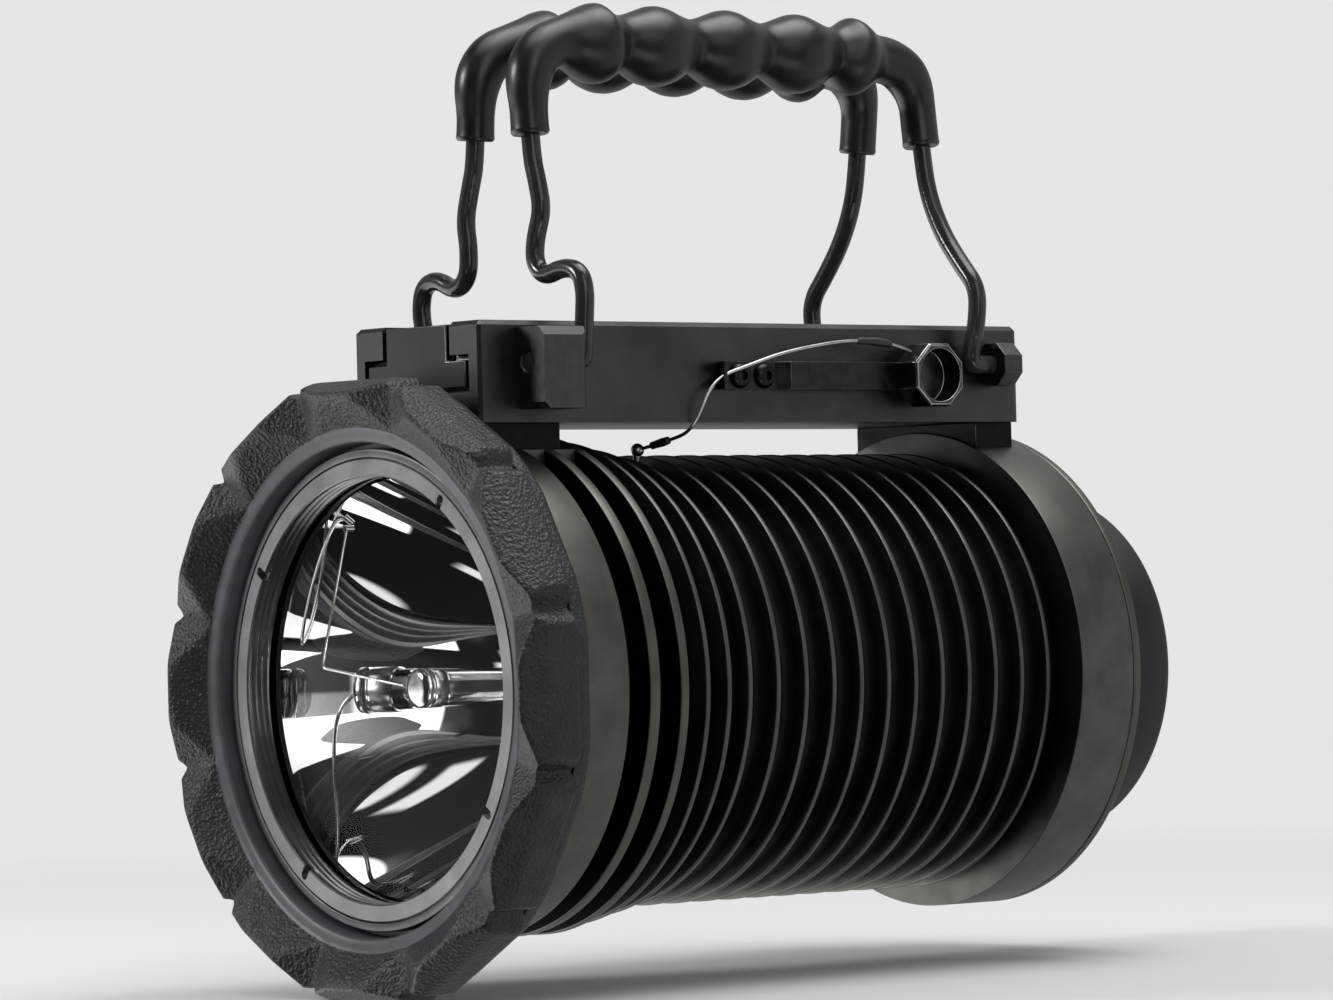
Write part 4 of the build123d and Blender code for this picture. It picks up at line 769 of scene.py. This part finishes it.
def bumper_bmesh():
    """The lobed ring: an outline spun round, then each vertex set by its row and its angle."""
    rows = [("lip", radius, y) for radius, y in LIP_ROWS]
    rows += [("front", n / FRONT_ROWS, 0.0) for n in range(FRONT_ROWS + 1)]
    rows += [("band", inset, y) for inset, y in BAND_ROWS]
    rows += [("skirt", inset, y) for inset, y in SKIRT_ROWS]
    bm = bmesh.new()
    row_of = bm.verts.layers.int.new("row")
    verts = []
    for index in range(len(rows)):
        vert = bm.verts.new((LIP_R + index, index, 0))
        vert[row_of] = index
        verts.append(vert)
    for one, two in zip(verts, verts[1:] + verts[:1]):
        bm.edges.new((one, two))
    bmesh.ops.spin(bm, geom=bm.verts[:] + bm.edges[:], cent=(0, 0, 0), axis=(0, 1, 0), dvec=(0, 0, 0),
                   angle=math.tau, steps=LOBES * STEPS_PER_LOBE, use_merge=True)
    pitch = math.tau / LOBES
    for vert in bm.verts:
        angle = math.atan2(vert.co.z, vert.co.x)
        turn = (angle + pitch / 2) % pitch - pitch / 2
        radius, y = row_place(*rows[vert[row_of]], turn)
        vert.co = (radius * math.cos(angle), y, radius * math.sin(angle))
    for face in bm.faces:
        middle = face.calc_center_median()
        on_lip = middle.y < LIP_REAR and math.hypot(middle.x, middle.z) < LIP_R + LIP_MARGIN
        face.material_index = 1 if on_lip else 0
    return bm


finish_bmesh(bumper_bmesh(), "bumper", [bezel_rubber, lip_rubber], ["bezel_bumper"],
             sharp=75)

# %% [markdown]
# ## Handles: a bent wire and a moulded grip
#
# Each handle is one round wire. Its legs were bent by hand, so their bends are soft and the two front
# legs differ. A NURBS line near a few corners gives just that. The grip follows the same line higher
# up: three finger lobes and a longer one at each end, then a tube down over each bend.

# %% Wire lines
WIRE_RADIUS = 3.175
GRIP_X, GRIP_Z = 13.5, 215.4
FRONT_LEG_Y, REAR_LEG_Y = 60.4, 234.0
ELBOW_REACH = 40.0
PIVOT_X, PIVOT_Z = 40.4, 106.6
NEAR_FRONT_LEG = [(40.4, 107.3), (40.8, 112.5), (41.6, 121.0), (42.4, 130.5), (39.5, 136.8), (31.0, 138.4),
                  (21.0, 135.6), (15.7, 140.8), (16.5, 149.0), (20.5, 158.0), (18.3, 167.5), (15.3, 177.0)]
FAR_FRONT_LEG = [(40.4, 107.3), (42.0, 112.5), (46.3, 119.5), (48.0, 128.5), (45.8, 136.4), (38.0, 138.3),
                 (28.0, 133.6), (21.0, 137.4), (20.0, 147.0), (21.9, 157.0), (18.6, 167.5), (15.2, 177.0)]
REAR_LEG = [(40.4, 107.3), (40.8, 112.5), (43.6, 121.0), (44.6, 133.0), (36.0, 142.2), (27.2, 153.0),
            (20.8, 165.5), (17.8, 178.0)]


def handle_route(side, front_leg):
    """Control points of one handle's wire, from its front end to its rear end."""
    route = [(PIVOT_X, 38.0, PIVOT_Z), (PIVOT_X, 49.0, PIVOT_Z), (PIVOT_X, 57.2, PIVOT_Z)]
    route += [(x, FRONT_LEG_Y, z) for x, z in front_leg]
    route += [(GRIP_X, FRONT_LEG_Y, GRIP_Z), (GRIP_X, FRONT_LEG_Y + ELBOW_REACH, GRIP_Z),
              (GRIP_X, REAR_LEG_Y - ELBOW_REACH, GRIP_Z), (GRIP_X, REAR_LEG_Y, GRIP_Z)]
    route += [(x, REAR_LEG_Y, z) for x, z in reversed(REAR_LEG)]
    route += [(PIVOT_X, 237.4, PIVOT_Z), (PIVOT_X, 243.5, PIVOT_Z), (PIVOT_X, 250.5, PIVOT_Z)]
    return [(side * x, y, z) for x, y, z in route]


def evenly(points, step):
    """The same line with points at one spacing in metres."""
    whole = length_of(points)
    count = max(2, round(whole / step))
    spaced, travelled, index = [points[0]], 0.0, 0
    for n in range(1, count):
        goal = whole * n / count
        while travelled + (points[index + 1] - points[index]).length < goal:
            travelled += (points[index + 1] - points[index]).length
            index += 1
        run = points[index + 1] - points[index]
        spaced.append(points[index] + run * ((goal - travelled) / run.length))
    return spaced + [points[-1]]


# %% Grip outline along the wire
LOBE_PITCH = 31.6
LOBE_CREST, LOBE_NECK = 13.8, 8.9
NECK_LIFT = 1.1
BROADNESS = 0.7
END_CREST_AT, END_CREST = 57.4, 13.7
CONE_ENDS = {-1: 76.0, 1: 70.5}
CONE_FALL = 0.9
CONE_R, ELBOW_R, TUBE_R = 8.3, 8.0, 6.45
TO_ELBOW, TUBE_START, TO_TUBE = 14, 12, 16
RIM_R, RIM_START, RIM_FULL = 6.6, 3.2, 0.6
RIM_EDGE, RIM_EDGE_SHARE = 0.7, 0.1
GRIP_BOTTOM_Z = 183.5
GRIP_STEP = 0.9
WIRE_SIDES, GRIP_SIDES = 8, 14
TUBE_SHARP = 60


def lobe_rise(share):
    """Rise from a hollow neck at 0 to a broad crest at 1."""
    return (0.5 - 0.5 * math.cos(math.pi * min(1.0, max(0.0, share)))) ** BROADNESS


def grip_radius(place, half_len):
    """Radius of the grip, and its lift, at a distance from its middle."""
    out, side = abs(place), (1 if place > 0 else -1)
    crease = LOBE_PITCH * 1.5
    if out < crease:
        phase = (place + crease) % LOBE_PITCH / LOBE_PITCH
        rise = lobe_rise(2 * min(phase, 1 - phase))
        return LOBE_NECK + (LOBE_CREST - LOBE_NECK) * rise, NECK_LIFT * (1 - rise)
    if out < END_CREST_AT:
        rise = lobe_rise((out - crease) / (END_CREST_AT - crease))
        return LOBE_NECK + (END_CREST - LOBE_NECK) * rise, NECK_LIFT * (1 - rise)
    cone_end = CONE_ENDS[side]
    if out < cone_end:
        fall = (out - END_CREST_AT) / (cone_end - END_CREST_AT)
        return CONE_R + (END_CREST - CONE_R) * (0.5 + 0.5 * math.cos(math.pi * fall ** CONE_FALL)), 0.0
    to_end = half_len - out
    radius = CONE_R + (ELBOW_R - CONE_R) * smooth(0, TO_ELBOW, out - cone_end)
    radius += (TUBE_R - ELBOW_R) * smooth(0, TO_TUBE, out - cone_end - TUBE_START)
    radius += (RIM_R - TUBE_R) * smooth(RIM_START, RIM_FULL, to_end) if to_end < RIM_START else 0
    return radius * (1 - RIM_EDGE_SHARE * smooth(RIM_EDGE, 0, to_end)), 0.0


def add_handle(side, name, body_name, front_leg):
    """Wire and grip of one handle."""
    wire_line = line_of(name + " line", handle_route(side, front_leg))
    wire_mesh = tube_mesh(name + "_wire", wire_line, [WIRE_RADIUS] * len(wire_line), WIRE_SIDES)
    place_piece(wire_mesh, name + "_wire", [wire_coat], [body_name + "_wire"], body_name,
                TUBE_SHARP)
    bottom = lamp(0, 0, GRIP_BOTTOM_Z).z
    grip_line = evenly([place for place in wire_line if place.z > bottom], GRIP_STEP * MM)
    step = length_of(grip_line) / MM / (len(grip_line) - 1)
    half_len = step * (len(grip_line) - 1) / 2
    radii = []
    for index, place in enumerate(grip_line):
        radius, lift = grip_radius(index * step - half_len, half_len)
        radii.append(radius)
        place.z += lift * MM
    grip_mesh = tube_mesh(name + "_grip", grip_line, radii, GRIP_SIDES)
    place_piece(grip_mesh, name + "_grip", [grip_plastic], [body_name + "_grip"], body_name,
                TUBE_SHARP)
    print(name, "wire (m):", round(length_of(wire_line), 3), "grip (m):", round(length_of(grip_line), 3))


add_handle(1, "near", "left_handle", NEAR_FRONT_LEG)
add_handle(-1, "far", "right_handle", FAR_FRONT_LEG)

# %% [markdown]
# ## Machined blocks with worn edges and painted edge highlights
#
# The housing, its insert, the mounts, pivots and the latch already have their right shapes, but
# their edges are knife sharp. Real edges are broken by a file or a tumbler, and handling rubs the
# coating off them. Each block's mesh is copied, its triangles joined, and its sharp edges bevelled
# with a second, lighter material: on the pull cup that is bare metal worn through, on the other
# blocks it is partly worn coating and partly a painted highlight along the edge. Wide faces are
# shaded flat, so that only the edges look round.

# %% Eased copies
FLAT_ANGLE = 1.0
EDGE_ANGLE = 30.0
EDGE_SEGMENTS = 2
FLAT_WIDTH = 1.5


def is_wide(face):
    """Whether a face is wide for its outline, so that it isn't part of an edge."""
    return face.calc_area() > FLAT_WIDTH * MM * face.calc_perimeter() / 2


def eased(name, node, width, finish, edge_finish, shortest=3.0, body="root"):
    """Copy of a CAD node with its longer sharp edges bevelled."""
    bm = bmesh.new()
    bm.from_mesh(nodes[node].data)
    bmesh.ops.remove_doubles(bm, verts=bm.verts, dist=MERGE_MM * MM)
    bmesh.ops.dissolve_limit(bm, angle_limit=math.radians(FLAT_ANGLE), verts=bm.verts, edges=bm.edges)
    bmesh.ops.recalc_face_normals(bm, faces=bm.faces)
    sharp = [edge for edge in bm.edges if edge.is_manifold and edge.calc_length() > shortest * MM
             and edge.calc_face_angle() > math.radians(EDGE_ANGLE)]
    bmesh.ops.bevel(bm, geom=sharp, offset=width * MM, segments=EDGE_SEGMENTS, profile=0.5, affect="EDGES",
                    clamp_overlap=True, material=1)
    bm.faces.index_update()
    flats = [face.index for face in bm.faces if is_wide(face)]
    mesh = bpy.data.meshes.new(name)
    bm.to_mesh(mesh)
    bm.free()
    print(name, "edges eased:", len(sharp), "faces:", len(mesh.polygons), "flats:", len(flats))
    piece = place_piece(mesh, name, [finish, edge_finish], [node], body)
    for index in flats:
        piece.data.polygons[index].use_smooth = False


# These blocks' edges get the lighter edge colour, worn coating with a painted highlight.
eased("housing", "rail_housing", 0.35, rail_metal, edge_wear_and_highlight)
eased("insert", "rail_insert", 0.35, insert_metal, edge_wear_and_highlight)
eased("front_saddle", "front_mount", 0.4, saddle_metal, edge_wear_and_highlight)
eased("rear_saddle", "rear_mount", 0.4, saddle_metal, edge_wear_and_highlight)
for side in ("left", "right"):
    eased(side + "_block", side + "_front_pivot", 0.4, block_metal, edge_wear_and_highlight, 1.5)
    eased(side + "_boss", side + "_rear_pivot", 0.25, block_metal, edge_wear_and_highlight, 1.5)
eased("leaf_base", "latch_base", 0.14, leaf_metal, edge_wear_and_highlight, 1.0)
eased("leaf", "latch_arm", 0.14, leaf_metal, edge_wear_and_highlight, 1.0, "latch")
eased("pull_cup", "latch_knob", 0.3, knob_metal, bare_edge, 0.3, "latch")

# %% [markdown]
# ## The studio
#
# The floor and the backdrop are one pale tone. What metal, glass and the mirror reflect is another
# matter: in such a picture large white sheets stand to the right of the lamp, dark cloth hangs in
# front of it, and a soft light comes from the front left and above. The world's shader gives
# reflected rays those areas by their direction, and keeps one plain level for the light itself.

# %% World
BACKDROP = 0.79
PLAIN_LEVEL = 0.45
BLACK_LEVEL = 0.004
# azimuth from the front towards the right (degrees), height of the direction (-1 to 1), level, softness
MIRROR_SHEETS = [
    ((57, 88), (0.24, 0.76), 1.55, (0.6, 0.008)),
    ((57, 72), (-0.16, 0.25), 1.55, (0.8, 0.008)),
    ((52, 88), (-0.77, -0.455), 1.55, (0.6, 0.008)),
]
BODY_SHEETS = [
    ((96, 200), (-1.1, 0.42), 0.56, (10, 0.2)),
    ((60, 200), (0.5, 0.84), 0.45, (10, 0.14)),
]
OVERHEAD_SHEET = ((-200, 200), (0.92, 1.1), 3.2, (1, 0.06))
FRONT_SHEETS = [
    ((-100, -34), (-0.85, -0.03), 2.3, (14, 0.06)),
    ((-100, -34), (-0.03, 0.6), 0.3, (14, 0.06)),
]
FAR_SHEET = ((-200, -96), (-1.1, 0.9), 0.45, (12, 0.2))
DOUBLE_BOUNCE_STRIPS = [
    ((18, 40), (-0.33, -0.2), 0.9, (2, 0.02)),
    ((13, 36), (-0.5, -0.43), 0.9, (2, 0.02)),
    ((12, 34), (0.47, 0.52), 0.9, (2, 0.02)),
]
SHEETS = [*MIRROR_SHEETS, *BODY_SHEETS, OVERHEAD_SHEET, *FRONT_SHEETS, FAR_SHEET, *DOUBLE_BOUNCE_STRIPS]


def times(world, value, factor):
    """A value multiplied by a fixed number."""
    node = add_node(world, "ShaderNodeMath", {0: value}, operation="MULTIPLY")
    node.inputs[1].default_value = factor
    return node.outputs[0]


def band(world, value, low, high, soft):
    """1 between two values and 0 outside, with soft ends."""
    rise = add_node(world, "ShaderNodeMapRange", {"Value": value}, interpolation_type="SMOOTHSTEP",
                    From_Min=low - soft, From_Max=low + soft)
    fall = add_node(world, "ShaderNodeMapRange", {"Value": value}, interpolation_type="SMOOTHSTEP",
                    From_Min=high - soft, From_Max=high + soft, To_Min=1.0, To_Max=0.0)
    both = add_node(world, "ShaderNodeMath", {0: rise.outputs["Result"], 1: fall.outputs["Result"]},
                    operation="MULTIPLY")
    return both.outputs[0]


def add_world():
    """Backdrop for the camera, sheets for reflections and a plain level for the light."""
    world = bpy.data.worlds.new("studio")
    bpy.context.scene.world = world
    world.use_nodes = True
    place = add_node(world, "ShaderNodeTexCoord")
    split = add_node(world, "ShaderNodeSeparateXYZ", {"Vector": place.outputs["Generated"]})
    front = times(world, split.outputs["Y"], -1)
    azimuth = add_node(world, "ShaderNodeMath", {0: split.outputs["X"], 1: front}, operation="ARCTAN2")
    degrees = add_node(world, "ShaderNodeMath", {0: azimuth.outputs[0]}, operation="DEGREES")
    total = None
    for (left, right), (low, high), level, (soft_turn, soft_height) in SHEETS:
        across = band(world, degrees.outputs[0], left, right, soft_turn)
        up = band(world, split.outputs["Z"], low, high, soft_height)
        sheet = add_node(world, "ShaderNodeMath", {0: across, 1: up}, operation="MULTIPLY")
        links = {0: times(world, sheet.outputs[0], level)}
        if total:
            links[1] = total
        joined = add_node(world, "ShaderNodeMath", links, operation="MAXIMUM")
        if not total:
            joined.inputs[1].default_value = BLACK_LEVEL
        total = joined.outputs[0]
    ray = add_node(world, "ShaderNodeLightPath")
    levels = world.node_tree
    for kind, level in (("Is Diffuse Ray", PLAIN_LEVEL), ("Is Camera Ray", BACKDROP)):
        mix = add_node(world, "ShaderNodeMix", {0: ray.outputs[kind]}, data_type="FLOAT")
        levels.links.new(total, mix.inputs[2])
        mix.inputs[3].default_value = level
        total = mix.outputs[0]
    levels.links.new(total, levels.nodes["Background"].inputs["Strength"])
    levels.nodes["Background"].inputs["Color"].default_value = (1, 1, 1, 1)


# %% Floor and lamps
FLOOR_SIZE = 12.0
FADE_START = 0.35
FADE_END = 1.1


def add_floor():
    """Pale floor that keeps the shadow near the light and fades into the backdrop."""
    mesh = bpy.data.meshes.new("floor")
    bm = bmesh.new()
    bmesh.ops.create_grid(bm, x_segments=1, y_segments=1, size=FLOOR_SIZE / 2)
    bm.to_mesh(mesh)
    bm.free()
    floor = bpy.data.objects.new("floor", mesh)
    bpy.context.scene.collection.objects.link(floor)
    floor.visible_glossy = False
    floor.visible_transmission = False
    material = new_finish("floor", (0.8, 0.8, 0.8), 0.9)
    place = add_node(material, "ShaderNodeTexCoord")
    distance = add_node(material, "ShaderNodeVectorMath", {0: place.outputs["Object"]},
                        operation="LENGTH")
    fade = ramp(material, distance.outputs["Value"], FADE_START, FADE_END)
    glow = add_node(material, "ShaderNodeEmission", Strength=BACKDROP)
    mix = add_node(material, "ShaderNodeMixShader", {0: fade})
    tree = material.node_tree
    tree.links.new(tree.nodes["Principled BSDF"].outputs[0], mix.inputs[1])
    tree.links.new(glow.outputs[0], mix.inputs[2])
    tree.links.new(mix.outputs[0], tree.nodes["Material Output"].inputs["Surface"])
    mesh.materials.append(material)


def add_lamp(name, place, target, size, power):
    """Soft rectangular lamp that points at a place in lamp millimetres."""
    data = bpy.data.lights.new(name, "AREA")
    data.shape = "RECTANGLE"
    data.size, data.size_y = size[0] * MM, size[1] * MM
    data.energy = power
    lamp_object = bpy.data.objects.new(name, data)
    bpy.context.scene.collection.objects.link(lamp_object)
    lamp_object.location = lamp(*place)
    aim = lamp(*target) - lamp_object.location
    lamp_object.rotation_mode = "QUATERNION"
    lamp_object.rotation_quaternion = aim.to_track_quat("-Z", "Y")


add_floor()
add_world()
add_lamp("key softbox", (-900, -1250, 760), (0, 40, 60), (420, 420), 14)
add_lamp("top softbox", (250, 450, 1300), (0, 150, 60), (1100, 800), 9)
bpy.context.scene.view_settings.view_transform = "Standard"
